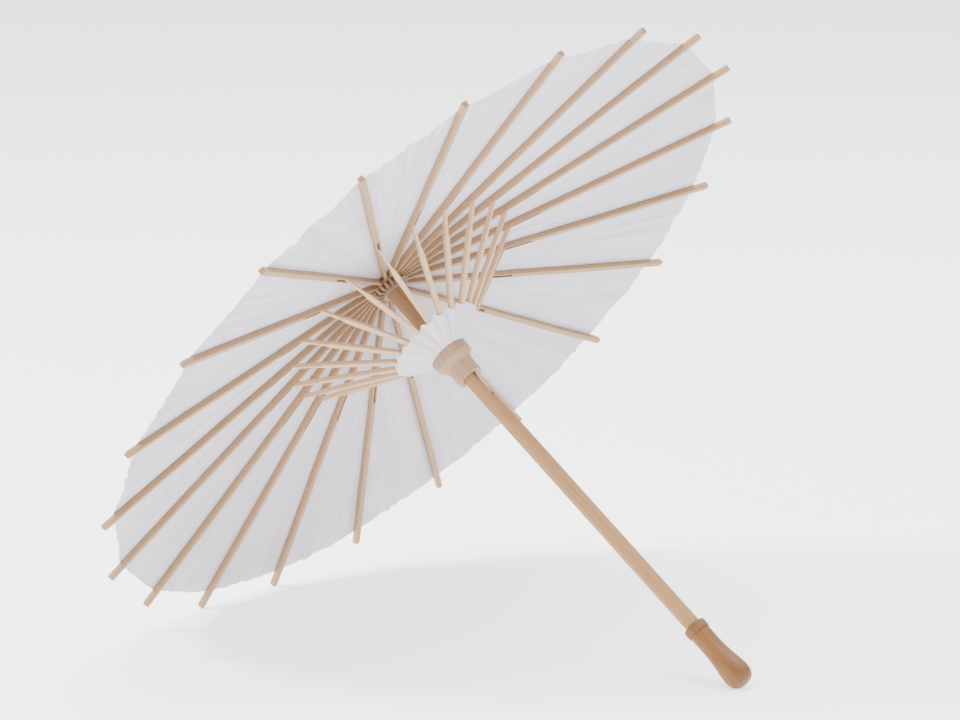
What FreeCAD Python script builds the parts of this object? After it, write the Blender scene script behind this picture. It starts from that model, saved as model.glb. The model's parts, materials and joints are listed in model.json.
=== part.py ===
"""Oil paper umbrella: a shaft with a turned handle, a slotted top notch, 21 ribs under a
paper canopy, 21 stretchers on a sliding runner and a small catch that holds it open.

Every piece is built upright, with Z along the shaft and the rib tips at Z = 0, and is then
placed as the umbrella lies: on two rib tips and the end of its handle.  Lengths are in mm.
"""
import FreeCAD, Part
import math
import os
import Sketcher
from FreeCAD import Placement, Rotation, Vector

SIZES = [
    # the stick and its handle; lengths down the handle are from the top of its ring
    ("shaft_radius", 4.0), ("shaft_rise", 13.5), ("shaft_edge", 0.8),
    ("stub_radius", 3.5), ("stub_foot", 7.6),
    ("ring_top", -203.0), ("ring_length", 4.5), ("ring_radius", 6.0), ("ring_edge", 0.6),
    ("socket_depth", 11.0), ("waist_radius", 5.3), ("waist_length", 14.5),
    ("swell_length", 24.0), ("swell_radius", 6.2), ("bulb_length", 31.1), ("bulb_radius", 6.9),
    # ribs: the pin line runs from the thread in the notch to the square-cut tip
    ("tip_radius", 200.0), ("rib_pin_radius", 8.0), ("rib_pin_level", 32.5),
    ("rib_below", 1.0), ("rib_above", 2.0), ("rib_eye_width", 1.2), ("rib_eye_length", 6.5),
    ("rib_neck_width", 1.6), ("rib_mid_width", 3.0), ("rib_tip_width", 3.4),
    ("joint_radius", 70.0), ("gap_width", 1.5), ("gap_inward", 16.5), ("gap_outward", 17.5),
    # stretchers: from the thread in the runner to the rib's gap
    ("arm_pin_radius", 7.6), ("arm_pin_level", -16.0), ("arm_half_depth", 1.2),
    ("arm_eye_width", 1.2), ("arm_eye_length", 6.0), ("arm_width", 2.4),
    ("arm_taper_end", 30.0), ("arm_tongue_length", 18.5), ("arm_shoulder", 5.0),
    # threads, the eyes they pass through and the slots the eyes turn in
    ("thread_radius", 0.35), ("eye_hole_radius", 0.5), ("groove_half", 0.4),
    ("slot_play", 0.3), ("slot_spare", 0.1), ("fit_gap", 0.05),
    # the slotted notch at the top; its lengths are from the thread
    ("notch_radius", 10.0), ("notch_rise", 1.7), ("notch_flange", 3.8), ("notch_length", 5.2),
    ("notch_neck_radius", 6.5), ("notch_edge", 0.6), ("notch_slot_depth", 1.9),
    # the sliding runner; its lengths are from the thread
    ("runner_play", 0.3), ("runner_rise", 3.4), ("runner_shoulder", 1.4),
    ("runner_flange", 5.3), ("runner_bevel", 9.0), ("runner_length", 17.4),
    ("runner_crown_radius", 8.9), ("runner_radius", 10.2), ("collar_radius", 7.0),
    ("runner_edge", 0.4), ("runner_slot_depth", 1.7),
    # paper
    ("canopy_radius", 192.5), ("hole_play", 0.6), ("paper_gap", 0.15),
    ("canopy_thickness", 0.3), ("sleeve_start", 10.35), ("sleeve_end", 25.5),
    ("sleeve_gap", 0.2), ("sleeve_thickness", 0.25), ("cap_radius", 13.0),
    ("cap_gap", 0.1), ("cap_thickness", 0.4), ("top_ring_gap", 0.35),
    ("top_ring_radius", 6.8), ("top_ring_length", 3.6),
    # the catch under the runner; its lengths are from the runner's mouth
    ("catch_drop", 0.3), ("catch_pin_drop", 13.2), ("catch_pin_inset", 0.8),
    ("catch_width", 1.2), ("catch_thickness", 0.9), ("catch_reach", 1.6),
    ("catch_slot_depth", 2.1), ("catch_slot_above", 0.8), ("catch_slot_drop", 15.0),
    ("catch_eye_radius", 0.75), ("catch_hole_radius", 0.5), ("catch_pin_size", 0.4),
]
SHAFT_TOP = "rib_pin_level + shaft_rise"
SHAFT_FOOT = "ring_top - socket_depth"
BULB_CENTRE = "ring_top - bulb_length"
RUNNER_MOUTH = "arm_pin_level - runner_length"
CATCH_PIN_LEVEL = RUNNER_MOUTH + " - catch_pin_drop"
CATCH_PIN_RADIUS = "shaft_radius - catch_pin_inset"
SOCKET = "shaft_radius + fit_gap"
PAPER_HOLE = "shaft_radius + hole_play"
BORE = "shaft_radius + runner_play"
V = dict(SIZES)
RIBS = 21                      # ribs, and as many stretchers
CATCH_TURN = 175.0             # degrees round the shaft, from the side nearest the floor
DOC = FreeCAD.newDocument("OilPaperUmbrella")
SHEET = DOC.addObject("Spreadsheet::Sheet", "Sizes")
FINISHED = []


def fill_sheet():
    for row, (name, value) in enumerate(SIZES, start=1):
        SHEET.set(f"A{row}", name)
        SHEET.set(f"B{row}", str(value))
        SHEET.setAlias(f"B{row}", name)
    DOC.recompute()


def value_of(text):
    """A sum such as 'a + 2*b' worked out from the list of sizes, for placements."""
    total, sign = 0.0, 1.0
    for word in str(text).split():
        if word in "+-":
            sign = 1.0 if word == "+" else -1.0
            continue
        product = 1.0
        for factor in word.split("*"):
            product *= V[factor] if factor in V else float(factor)
        total += sign * product
    return total


def expression(text):
    """The same sum written as an expression on the sheet."""
    out = []
    for word in str(text).split():
        if word in "+-":
            out.append(word)
        else:
            out.append(" * ".join(f"Sizes.{f}" if f in V else f for f in word.split("*")))
    return " ".join(out)


def primitive(kind, name, place=None, **sizes):
    obj = DOC.addObject(kind, name)
    for prop, text in sizes.items():
        obj.setExpression(prop, expression(text))
    if place is not None:
        obj.Placement = place
    return obj


def at(x, y, z, rotation=None):
    return Placement(Vector(x, y, z), rotation or Rotation())


def fuse(name, shapes):
    obj = DOC.addObject("Part::MultiFuse", name)
    obj.Shapes = shapes
    obj.Refine = True
    return obj


def cut(name, base, tool):
    obj = DOC.addObject("Part::Cut", name)
    obj.Base, obj.Tool = base, tool
    return obj


def finish(obj, label, place):
    obj.Label = label
    obj.Placement = place
    FINISHED.append(obj)
    return obj


def turned(name, points, round_foot=None):
    """A body of revolution about Z.  points are (radius, height) texts, taken in order and
    closed; round_foot = (radius, centre height) ends it in a quarter circle to the axis."""
    body = DOC.addObject("PartDesign::Body", name)
    sketch = body.newObject("Sketcher::SketchObject", name + "Profile")
    plane = next(o for o in body.Origin.OriginFeatures if "XZ" in o.Name)
    sketch.AttachmentSupport = [(plane, "")]
    sketch.MapMode = "FlatFace"
    xy = [Vector(value_of(r), value_of(z), 0) for r, z in points]
    count = len(xy)
    closing = count - 1 if round_foot else count
    for i in range(closing):
        sketch.addGeometry(Part.LineSegment(xy[i], xy[(i + 1) % count]), False)
    for i in range(closing - 1):
        sketch.addConstraint(Sketcher.Constraint("Coincident", i, 2, i + 1, 1))
    if round_foot:
        radius, centre = value_of(round_foot[0]), value_of(round_foot[1])
        circle = Part.Circle(Vector(0, centre, 0), Vector(0, 0, 1), radius)
        arc = sketch.addGeometry(Part.ArcOfCircle(circle, -math.pi / 2, 0), False)
        axis = sketch.addGeometry(Part.LineSegment(Vector(0, centre - radius, 0), xy[0]), False)
        sketch.addConstraint(Sketcher.Constraint("Coincident", closing - 1, 2, arc, 2))
        sketch.addConstraint(Sketcher.Constraint("Coincident", arc, 1, axis, 1))
        sketch.addConstraint(Sketcher.Constraint("Coincident", axis, 2, 0, 1))
        sketch.addConstraint(Sketcher.Constraint("PointOnObject", axis, 1, -2))
        sketch.addConstraint(Sketcher.Constraint("PointOnObject", arc, 3, -2))
    else:
        sketch.addConstraint(Sketcher.Constraint("Coincident", closing - 1, 2, 0, 1))
    for i, (r, z) in enumerate(points):
        if round_foot and i == count - 1:
            geo, end = closing - 1, 2
        else:
            geo, end = i, 1
        if value_of(r) == 0:
            sketch.addConstraint(Sketcher.Constraint("PointOnObject", geo, end, -2))
        else:
            index = sketch.addConstraint(
                Sketcher.Constraint("DistanceX", -1, 1, geo, end, value_of(r)))
            sketch.setExpression(f"Constraints[{index}]", expression(r))
        index = sketch.addConstraint(
            Sketcher.Constraint("DistanceY", -1, 1, geo, end, value_of(z)))
        sketch.setExpression(f"Constraints[{index}]", expression(z))
    spin = body.newObject("PartDesign::Revolution", name + "Turning")
    spin.Profile = sketch
    spin.ReferenceAxis = (sketch, ["V_Axis"])
    spin.Angle = 360
    sketch.Visibility = False
    return body


def ring_of(name, first, step_count=RIBS):
    """Copies of one cutter round the shaft, one at every rib."""
    array = [first]
    for i in range(1, step_count):
        twin = DOC.addObject(first.TypeId, f"{name}{i + 1:02d}")
        for prop, text in first.ExpressionEngine:
            twin.setExpression(prop, text)
        spin = Placement(Vector(), Rotation(Vector(0, 0, 1), 360.0 * i / step_count))
        twin.Placement = spin.multiply(first.Placement)
        array.append(twin)
    return array


# ---- where things are -------------------------------------------------------------------
def rib_slope():
    return math.atan2(V["rib_pin_level"], V["tip_radius"] - V["rib_pin_radius"])


def rib_length():
    return math.hypot(V["rib_pin_level"], V["tip_radius"] - V["rib_pin_radius"])


def joint_point():
    r = V["joint_radius"]
    return r, V["rib_pin_level"] - (r - V["rib_pin_radius"]) * math.tan(rib_slope())


def joint_distance():
    return (V["joint_radius"] - V["rib_pin_radius"]) / math.cos(rib_slope())


def arm_length():
    r, z = joint_point()
    return math.hypot(r - V["arm_pin_radius"], z - V["arm_pin_level"])


def arm_rise():
    r, z = joint_point()
    return math.atan2(z - V["arm_pin_level"], r - V["arm_pin_radius"])


def azimuth(i):
    return (i - 0.5) * 360.0 / RIBS


def spoke(i, radius, level, slope):
    """Placement of a piece whose length is Y and top is Z, going out from the shaft."""
    lean = Rotation(Vector(0, -1, 0), Vector(math.cos(slope), 0, math.sin(slope)),
                    Vector(-math.sin(slope), 0, math.cos(slope)), "XYZ")
    spin = Placement(Vector(), Rotation(Vector(0, 0, 1), azimuth(i)))
    return spin.multiply(at(radius, 0, level, lean))


def lying():
    """Turn the upright umbrella so that ribs 1 and 21 and the handle's end touch the floor."""
    half = math.radians(180.0 / RIBS)
    slope = rib_slope()
    edge_r = V["tip_radius"] - V["rib_below"] * math.sin(slope)
    edge_z = -V["rib_below"] * math.cos(slope)
    reach = edge_r * math.cos(half) + V["rib_tip_width"] / 2 * math.sin(half)
    drop = edge_z - value_of(BULB_CENTRE)
    lean = math.acos(V["bulb_radius"] / math.hypot(reach, drop)) - math.atan2(drop, reach)
    c, s = math.cos(lean), math.sin(lean)
    turn = Rotation(Vector(-s, 0, -c), Vector(0, -1, 0), Vector(-c, 0, s), "XYZ")
    floor = V["bulb_radius"] - value_of(BULB_CENTRE) * s
    far = min(lowest_x(i, s, c, slope) for i in range(1, RIBS + 1))
    far = min(far, -c * value_of(SHAFT_TOP) - s * V["shaft_radius"])
    near = -c * value_of(BULB_CENTRE) + V["bulb_radius"]
    return Placement(Vector(-(far + near) / 2, 0, floor), turn)


def lowest_x(i, s, c, slope):
    """The most negative X that the outer end of rib i reaches once the umbrella leans."""
    spin = math.radians(azimuth(i))
    ends = []
    for side in (-1, 1):
        for up in (-V["rib_below"], V["rib_above"]):
            r = V["tip_radius"] + up * math.sin(slope)
            x = r * math.cos(spin) - side * V["rib_tip_width"] / 2 * math.sin(spin)
            ends.append(-s * x - c * up * math.cos(slope))
    return min(ends)


# ---- wood -------------------------------------------------------------------------------
def make_shaft():
    edge = SHAFT_TOP + " - shaft_edge"
    shoulder = "rib_pin_level + stub_foot"
    stick = turned("Stick", [
        ("0", SHAFT_FOOT), ("shaft_radius", SHAFT_FOOT), ("shaft_radius", shoulder),
        ("stub_radius", shoulder), ("stub_radius", edge),
        ("stub_radius - shaft_edge", SHAFT_TOP), ("0", SHAFT_TOP)])
    foot = RUNNER_MOUTH + " - catch_slot_drop"
    spot = at(value_of("shaft_radius - catch_slot_depth"),
              -value_of("0.5*catch_width + 0.5*slot_play"), value_of(foot))
    slot = primitive("Part::Box", "CatchSlot", spot, Length="shaft_radius",
                     Width="catch_width + slot_play", Height="catch_slot_above + catch_slot_drop")
    hole = primitive("Part::Cylinder", "CatchHole", across_shaft("2*shaft_radius"),
                     Radius="catch_pin_size + fit_gap", Height="4*shaft_radius")
    shaft = cut("Shaft", stick, fuse("CatchCuts", [slot, hole]))
    return finish(shaft, "shaft", LIE.multiply(catch_spin()))


def catch_spin():
    return Placement(Vector(), Rotation(Vector(0, 0, 1), CATCH_TURN))


def across_shaft(half):
    """Placement of a cylinder along the catch's axis, from half its length to one side."""
    return at(value_of(CATCH_PIN_RADIUS), -value_of(half), value_of(CATCH_PIN_LEVEL),
              Rotation(Vector(1, 0, 0), -90))


def make_catch():
    leaf = DOC.addObject("Part::Wedge", "CatchLeaf")
    # Y of the wedge runs up the shaft, X across it and Z outward
    top = "catch_reach + catch_pin_inset"
    leaf.Ymin = 0
    for prop, text in (("Ymax", "catch_pin_drop - catch_drop"),
                       ("Xmin", "-0.5*catch_width"), ("Xmax", "0.5*catch_width"),
                       ("X2min", "-0.5*catch_width"), ("X2max", "0.5*catch_width"),
                       ("Zmin", "-0.5*catch_thickness"), ("Zmax", "0.5*catch_thickness"),
                       ("Z2min", top + " - catch_thickness"), ("Z2max", top)):
        leaf.setExpression(prop, expression(text))
    upright = Rotation(Vector(0, 1, 0), Vector(0, 0, 1), Vector(1, 0, 0), "XYZ")
    leaf.Placement = at(value_of(CATCH_PIN_RADIUS), 0, value_of(CATCH_PIN_LEVEL), upright)
    eye = primitive("Part::Cylinder", "CatchEye", across_shaft("0.5*catch_width"),
                    Radius="catch_eye_radius", Height="catch_width")
    hole = primitive("Part::Cylinder", "CatchEyeHole", across_shaft("catch_width"),
                     Radius="catch_hole_radius", Height="2*catch_width")
    finish(cut("Catch", fuse("CatchBlank", [leaf, eye]), hole), "catch",
           LIE.multiply(catch_spin()))
    chord = math.sqrt(V["shaft_radius"] ** 2 - value_of(CATCH_PIN_RADIUS) ** 2)
    half = chord - V["catch_pin_size"] / 2
    pin = primitive("Part::Cylinder", "CatchPin", None, Radius="catch_pin_size")
    pin.Height = 2 * half
    spot = across_shaft(str(half))
    finish(pin, "catch_pin", LIE.multiply(catch_spin()).multiply(spot))


def make_handle():
    ring_foot = "ring_top - ring_length"
    body = turned("Handle", [
        ("0", SHAFT_FOOT + " - fit_gap"), (SOCKET, SHAFT_FOOT + " - fit_gap"),
        (SOCKET, "ring_top"), ("ring_radius - ring_edge", "ring_top"),
        ("ring_radius", "ring_top - ring_edge"), ("ring_radius", ring_foot + " + ring_edge"),
        ("ring_radius - ring_edge", ring_foot), ("waist_radius", ring_foot + " - fit_gap"),
        ("waist_radius", "ring_top - waist_length"), ("swell_radius", "ring_top - swell_length"),
        ("bulb_radius", BULB_CENTRE)],
        round_foot=("bulb_radius", BULB_CENTRE))
    return finish(body, "handle", LIE)


def slot_box(name, floor, foot, height, width):
    """A cutter from the slot's floor outward, standing at the first rib."""
    spin = Placement(Vector(), Rotation(Vector(0, 0, 1), azimuth(1)))
    spot = at(value_of(floor), -value_of(width) / 2, value_of(foot))
    return primitive("Part::Box", name, spin.multiply(spot),
                     Length="runner_radius", Width=width, Height=height)


def groove(name, radius, level):
    """A flat ring cut from just inside the thread outward."""
    outer = primitive("Part::Cylinder", name + "Outer",
                      at(0, 0, value_of(level + " - groove_half")),
                      Radius="2*notch_radius", Height="2*groove_half")
    inner = primitive("Part::Cylinder", name + "Inner",
                      at(0, 0, value_of(level + " - 3*groove_half")),
                      Radius=f"{radius} - thread_radius - fit_gap", Height="6*groove_half")
    return cut(name, outer, inner)


def make_notch():
    level = "rib_pin_level"
    top, foot = level + " + notch_rise", level + " - notch_length"
    flange = level + " - notch_flange"
    body = turned("NotchTurned", [
        (SOCKET, foot), ("notch_neck_radius - notch_edge", foot),
        ("notch_neck_radius", foot + " + notch_edge"), ("notch_neck_radius", flange),
        ("notch_radius - notch_edge", flange), ("notch_radius", flange + " + notch_edge"),
        ("notch_radius", top + " - notch_edge"), ("notch_radius - notch_edge", top),
        (SOCKET, top)])
    first = slot_box("NotchSlot", "rib_pin_radius - notch_slot_depth", foot + " - notch_edge",
                     "notch_length + notch_rise + 2*notch_edge", "rib_eye_width + slot_play")
    cutters = ring_of("NotchSlot", first) + [groove("NotchGroove", "rib_pin_radius", level)]
    return finish(cut("Notch", body, fuse("NotchCuts", cutters)), "top_notch", LIE)


def make_runner():
    level = "arm_pin_level"
    top, mouth = level + " + runner_rise", RUNNER_MOUTH
    body = turned("RunnerTurned", [
        (BORE, mouth + " + runner_edge"), (BORE + " + runner_edge", mouth),
        ("collar_radius - runner_edge", mouth), ("collar_radius", mouth + " + runner_edge"),
        ("collar_radius", level + " - runner_bevel"), ("runner_radius", level + " - runner_flange"),
        ("runner_radius", level + " + runner_shoulder"), ("runner_crown_radius", top),
        (BORE + " + runner_edge", top), (BORE, top + " - runner_edge")])
    first = slot_box("RunnerSlot", "arm_pin_radius - runner_slot_depth",
                     level + " - arm_half_depth - slot_spare",
                     "runner_rise + arm_half_depth + 2*slot_spare", "arm_eye_width + slot_play")
    cutters = ring_of("RunnerSlot", first) + [groove("RunnerGroove", "arm_pin_radius", level)]
    return finish(cut("Runner", body, fuse("RunnerCuts", cutters)), "runner", LIE)


def make_thread(name, label, radius, level):
    ring = primitive("Part::Torus", name, None, Radius1=radius, Radius2="thread_radius")
    spot = at(0, 0, value_of(level))
    return finish(ring, label, LIE.multiply(spot))


def bar(name, start, end, width_in, width_out, below, above):
    """A tapering bar: Y is its length, X its width and Z its depth."""
    wedge = DOC.addObject("Part::Wedge", name)
    for prop, text in (("Ymin", start), ("Ymax", end),
                       ("Xmin", f"-0.5*{width_in}"), ("Xmax", f"0.5*{width_in}"),
                       ("X2min", f"-0.5*{width_out}"), ("X2max", f"0.5*{width_out}")):
        if isinstance(text, float):
            setattr(wedge, prop, text)
        else:
            wedge.setExpression(prop, expression(text))
    for prop in ("Zmin", "Z2min"):
        wedge.setExpression(prop, expression(below))
    for prop in ("Zmax", "Z2max"):
        wedge.setExpression(prop, expression(above))
    return wedge


def cross_pin(name, radius, width, at_y=0.0):
    """A cylinder across the bar, along X."""
    across = Rotation(Vector(0, 1, 0), 90)
    return primitive("Part::Cylinder", name, at(-value_of(width) / 2, at_y, 0, across),
                     Radius=radius, Height=width)


def make_ribs():
    middle, length = joint_distance(), rib_length()
    blank = fuse("RibBlank", [
        cross_pin("RibEye", "rib_below", "rib_eye_width"),
        bar("RibRoot", "0", "rib_eye_length", "rib_eye_width", "rib_eye_width",
            "-1*rib_below", "rib_above"),
        bar("RibInner", "rib_eye_length", middle, "rib_neck_width", "rib_mid_width",
            "-1*rib_below", "rib_above"),
        bar("RibOuter", middle, length, "rib_mid_width", "rib_tip_width",
            "-1*rib_below", "rib_above")])
    gap = DOC.addObject("Part::Box", "RibGap")
    gap.setExpression("Length", expression("gap_inward + gap_outward"))
    gap.setExpression("Width", expression("gap_width"))
    gap.setExpression("Height", expression("2*rib_below + 2*rib_above"))
    gap.Placement = at(value_of("0.5*gap_width"), middle - V["gap_inward"],
                       -2 * V["rib_below"], Rotation(Vector(0, 0, 1), 90))
    tool = fuse("RibCuts", [gap, cross_pin("RibHole", "eye_hole_radius", "4*rib_eye_width")])
    for i in range(1, RIBS + 1):
        place = spoke(i, V["rib_pin_radius"], V["rib_pin_level"], -rib_slope())
        finish(cut(f"Rib{i:02d}", blank, tool), f"rib_{i:02d}", LIE.multiply(place))


def make_stretchers():
    length = arm_length()
    tongue = length - V["arm_tongue_length"]
    shoulder = tongue - V["arm_shoulder"]
    half = "arm_half_depth"
    blank = fuse("ArmBlank", [
        cross_pin("ArmEye", half, "arm_eye_width"),
        bar("ArmRoot", "0", "arm_eye_length", "arm_eye_width", "arm_eye_width",
            "-1*" + half, half),
        bar("ArmFlare", "arm_eye_length", "arm_taper_end", "arm_eye_width", "arm_width",
            "-1*" + half, half),
        bar("ArmMiddle", "arm_taper_end", shoulder, "arm_width", "arm_width",
            "-1*" + half, half),
        bar("ArmShoulder", shoulder, tongue, "arm_width", "arm_eye_width", "-1*" + half, half),
        bar("ArmTongue", tongue, length, "arm_eye_width", "arm_eye_width", "-1*" + half, half),
        cross_pin("ArmTip", half, "arm_eye_width", length)])
    tool = fuse("ArmCuts", [
        cross_pin("ArmHole", "eye_hole_radius", "4*arm_eye_width"),
        cross_pin("ArmTipHole", "eye_hole_radius", "4*arm_eye_width", length)])
    for i in range(1, RIBS + 1):
        place = spoke(i, V["arm_pin_radius"], V["arm_pin_level"], arm_rise())
        finish(cut(f"Arm{i:02d}", blank, tool), f"stretcher_{i:02d}", LIE.multiply(place))


def make_top_ring():
    foot = paper_level(V["shaft_radius"], "upper") + value_of("cap_thickness + top_ring_gap")
    body = primitive("Part::Cylinder", "TopRingBlank", at(0, 0, foot),
                     Radius="top_ring_radius", Height="top_ring_length")
    hole = primitive("Part::Cylinder", "TopRingHole", at(0, 0, foot - V["top_ring_length"]),
                     Radius=SOCKET, Height="3*top_ring_length")
    return finish(cut("TopRing", body, hole), "top_ring", LIE)


# ---- paper ------------------------------------------------------------------------------
def paper_level(radius, side):
    """Height of the canopy's under or upper face at a radius from the shaft."""
    slope = rib_slope()
    level = V["rib_pin_level"] - (radius - V["rib_pin_radius"]) * math.tan(slope)
    level += V["rib_above"] / math.cos(slope) + V["paper_gap"]
    return level + (V["canopy_thickness"] / math.cos(slope) if side == "upper" else 0.0)


def pyramid(name, wide, narrow, side, lift=0.0):
    """A many-sided frustum with a corner over every rib."""
    rings = []
    spin = Rotation(Vector(0, 0, 1), azimuth(1))
    for step, radius in enumerate((wide, narrow)):
        ring = DOC.addObject("Part::RegularPolygon", f"{name}Ring{step}")
        ring.Polygon = RIBS
        ring.Circumradius = radius
        ring.Placement = at(0, 0, paper_level(radius, side) + lift, spin)
        rings.append(ring)
    loft = DOC.addObject("Part::Loft", name)
    loft.Sections = rings
    loft.Solid, loft.Ruled = True, True
    return loft


def paper_sheet(name, wide, side, thickness, lift=0.0):
    """A thin many-sided sheet over the ribs with a hole for the shaft."""
    narrow, inside = value_of(PAPER_HOLE), V["shaft_radius"]
    rise = thickness / math.cos(rib_slope())
    outer = pyramid(name + "Outer", wide, narrow, side, lift + rise)
    rim = DOC.addObject("Part::Prism", name + "Rim")
    rim.Polygon = RIBS
    rim.Circumradius, rim.Height = wide, rise
    rim.Placement = at(0, 0, paper_level(wide, side) + lift,
                       Rotation(Vector(0, 0, 1), azimuth(1)))
    inner = pyramid(name + "Inner", wide + thickness, inside, side, lift)
    hole = primitive("Part::Cylinder", name + "Hole", at(0, 0, 0), Radius=PAPER_HOLE,
                     Height="2*rib_pin_level")
    return cut(name, fuse(name + "Blank", [outer, rim]), fuse(name + "Cuts", [inner, hole]))


def make_canopy():
    finish(paper_sheet("Canopy", V["canopy_radius"], "under", V["canopy_thickness"]),
           "canopy", LIE)
    finish(paper_sheet("Cap", V["cap_radius"], "upper", V["cap_thickness"], V["cap_gap"]),
           "crown_cap", LIE)


def make_sleeve():
    """The paper glued under the inner ends of the stretchers, as a thin cone."""
    rise = arm_rise()

    def level(radius, depth):
        line = V["arm_pin_level"] + (radius - V["arm_pin_radius"]) * math.tan(rise)
        return line - (V["arm_half_depth"] + depth) / math.cos(rise)

    start, end = V["sleeve_start"], V["sleeve_end"]
    near, far = V["sleeve_gap"], V["sleeve_gap"] + V["sleeve_thickness"]
    cones = []
    for name, depth in (("SleeveOuter", far), ("SleeveInner", near)):
        cone = DOC.addObject("Part::Cone", name)
        cone.setExpression("Radius1", expression("sleeve_start"))
        cone.setExpression("Radius2", expression("sleeve_end"))
        cone.Height = level(end, depth) - level(start, depth)
        cone.Placement = at(0, 0, level(start, depth))
        cones.append(cone)
    bore = primitive("Part::Cylinder", "SleeveBore",
                     at(0, 0, level(start, far) - V["sleeve_start"]),
                     Radius="sleeve_start", Height="sleeve_end")
    sleeve = cut("Sleeve", cones[0], fuse("SleeveCuts", [cones[1], bore]))
    return finish(sleeve, "runner_paper", LIE)


def check():
    """Stop if an object failed or a finished shape is not sound."""
    for obj in DOC.Objects:
        bad = [s for s in obj.State if s in ("Invalid", "Error")]
        if bad:
            raise RuntimeError(f"{obj.Name} is {bad}")
    for obj in FINISHED:
        if obj.Shape.isNull() or not obj.Shape.isValid() or not obj.Shape.Solids:
            raise RuntimeError(f"{obj.Label} has no sound solid")


def export():
    os.makedirs("parts", exist_ok=True)
    for obj in FINISHED:
        obj.Shape.exportStep(f"parts/{obj.Label}.step")
        box = obj.Shape.BoundBox
        print(f"{obj.Label}: {len(obj.Shape.Solids)} solid(s), "
              f"{box.XLength:.1f} x {box.YLength:.1f} x {box.ZLength:.1f} mm")


fill_sheet()
LIE = lying()
make_shaft()
make_handle()
make_catch()
make_notch()
make_thread("NotchThread", "notch_thread", "rib_pin_radius", "rib_pin_level")
make_runner()
make_thread("RunnerThread", "runner_thread", "arm_pin_radius", "arm_pin_level")
make_ribs()
make_stretchers()
make_canopy()
make_sleeve()
make_top_ring()
DOC.recompute()
check()
export()
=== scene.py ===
"""Oil paper umbrella lying open on its rim: the finishes and the finely made pieces.

Each piece is shaped upright in metres, with Z up the shaft and the rib tips at Z = 0, and is
then laid on the floor as the umbrella lies.
"""
import json
import math
import bmesh
import bpy
from bpy.props import (
    FloatProperty, FloatVectorProperty, IntProperty, PointerProperty,
)
from mathutils import Matrix, Vector, noise


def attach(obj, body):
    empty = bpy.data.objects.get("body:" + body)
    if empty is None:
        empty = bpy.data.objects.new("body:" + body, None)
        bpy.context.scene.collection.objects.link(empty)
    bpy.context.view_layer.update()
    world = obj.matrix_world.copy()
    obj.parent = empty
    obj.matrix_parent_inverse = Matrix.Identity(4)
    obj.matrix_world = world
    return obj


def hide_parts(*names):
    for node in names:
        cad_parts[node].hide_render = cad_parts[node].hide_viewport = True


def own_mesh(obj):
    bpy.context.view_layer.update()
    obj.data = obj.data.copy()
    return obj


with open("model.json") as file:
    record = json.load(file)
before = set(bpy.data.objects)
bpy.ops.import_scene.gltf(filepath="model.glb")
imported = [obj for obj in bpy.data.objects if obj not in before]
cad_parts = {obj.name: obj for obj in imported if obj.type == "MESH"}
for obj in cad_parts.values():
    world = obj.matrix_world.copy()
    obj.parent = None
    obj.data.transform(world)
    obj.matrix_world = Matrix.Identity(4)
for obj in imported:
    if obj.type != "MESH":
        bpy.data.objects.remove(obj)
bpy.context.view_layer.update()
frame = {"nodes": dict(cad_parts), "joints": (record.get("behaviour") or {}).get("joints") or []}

bl_info = {
    "name": "Oil paper umbrella",
    "version": (1, 0, 0),
    "blender": (4, 5, 0),
    "location": "3D View > Sidebar > Umbrella",
    "description": "Makes an open oil paper umbrella with bamboo ribs and a turned handle",
    "category": "Add Mesh",
}

JOINTS = {joint["name"]: joint for joint in frame["joints"]}
COUNT = sum(name.startswith("rib_hinge_") for name in JOINTS)
HALF_GORE = math.pi / COUNT

# outlines of turned pieces, top to foot: (radius, height over the level that is given)
HANDLE_RING = ((0.0060, 0.0), (0.0060, -0.0045), (0.0053, -0.0045))
HANDLE_GRIP = ((0.0053, -0.0049), (0.00535, -0.0075), (0.0053, -0.0145), (0.0056, -0.019),
               (0.0062, -0.0240), (0.0067, -0.0275), (0.0069, -0.0311), (0.00655, -0.0342),
               (0.0050, -0.0367), (0.0026, -0.0378), (0.0, -0.0380))
NOTCH_OUTLINE = ((0.0100, 0.0017), (0.0100, -0.0038), (0.0066, -0.0041), (0.0063, -0.0052))
CROWN_RING_OUTLINE = ((0.0061, 0.0036), (0.0068, 0.0022), (0.0068, 0.0009), (0.0062, 0.0))
CROWN_RING_HEIGHT = 0.0037
RUNNER_OUTLINE = ((0.0089, 0.0034), (0.0102, 0.0014), (0.0102, -0.0053), (0.0070, -0.0090),
                  (0.0070, -0.0174))
SLOT_WIDTH = 0.0015

# the floor, the lights (name, place, watts, size across) and the camera
FLOOR_RADIUS, FLOOR_THICKNESS, FLOOR_GLOW = 30.0, 0.02, 1.5
ROOM_COLOUR, ROOM_LIGHT = (0.97, 0.985, 1.0, 1.0), 1.3
LAMPS = (
    ("key", (-1.5, -1.3, 1.9), 115.0, 0.8),
    ("top", (0.1, 0.1, 2.6), 85.0, 2.0),
    ("fill", (2.4, -0.8, 1.6), 6.0, 2.2),
    ("back", (0.2, 2.2, 1.8), 20.0, 2.0),
)
LAMPS_AIM = Vector((0.0, 0.0, 0.12))
LENS_MM, SENSOR_MM = 132.03, 36.0
CAMERA_AT = Vector((0.99778, -1.39288, 0.44405))
CAMERA_RIGHT = Vector((0.81291, 0.58239, 0.00141))
CAMERA_AHEAD = Vector((-0.57339, 0.80077, -0.17320))

# the canopy's uneven surface: cycles to the metre, and the radius its streaks are spread at; the
# streaks are partly the paper's own and partly painted fold shade
COARSE_BUMPS, FINE_BUMPS, PULLED_LINES = 62.0, 140.0, 55.0
STREAK_RADIUS = 0.19

# columns and rows of faces on one piece of paper
STRIP_GRID, GORE_GRID, SLEEVE_GRID, CAP_GRID = (2, 48), (9, 64), (48, 14), (168, 8)

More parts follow.
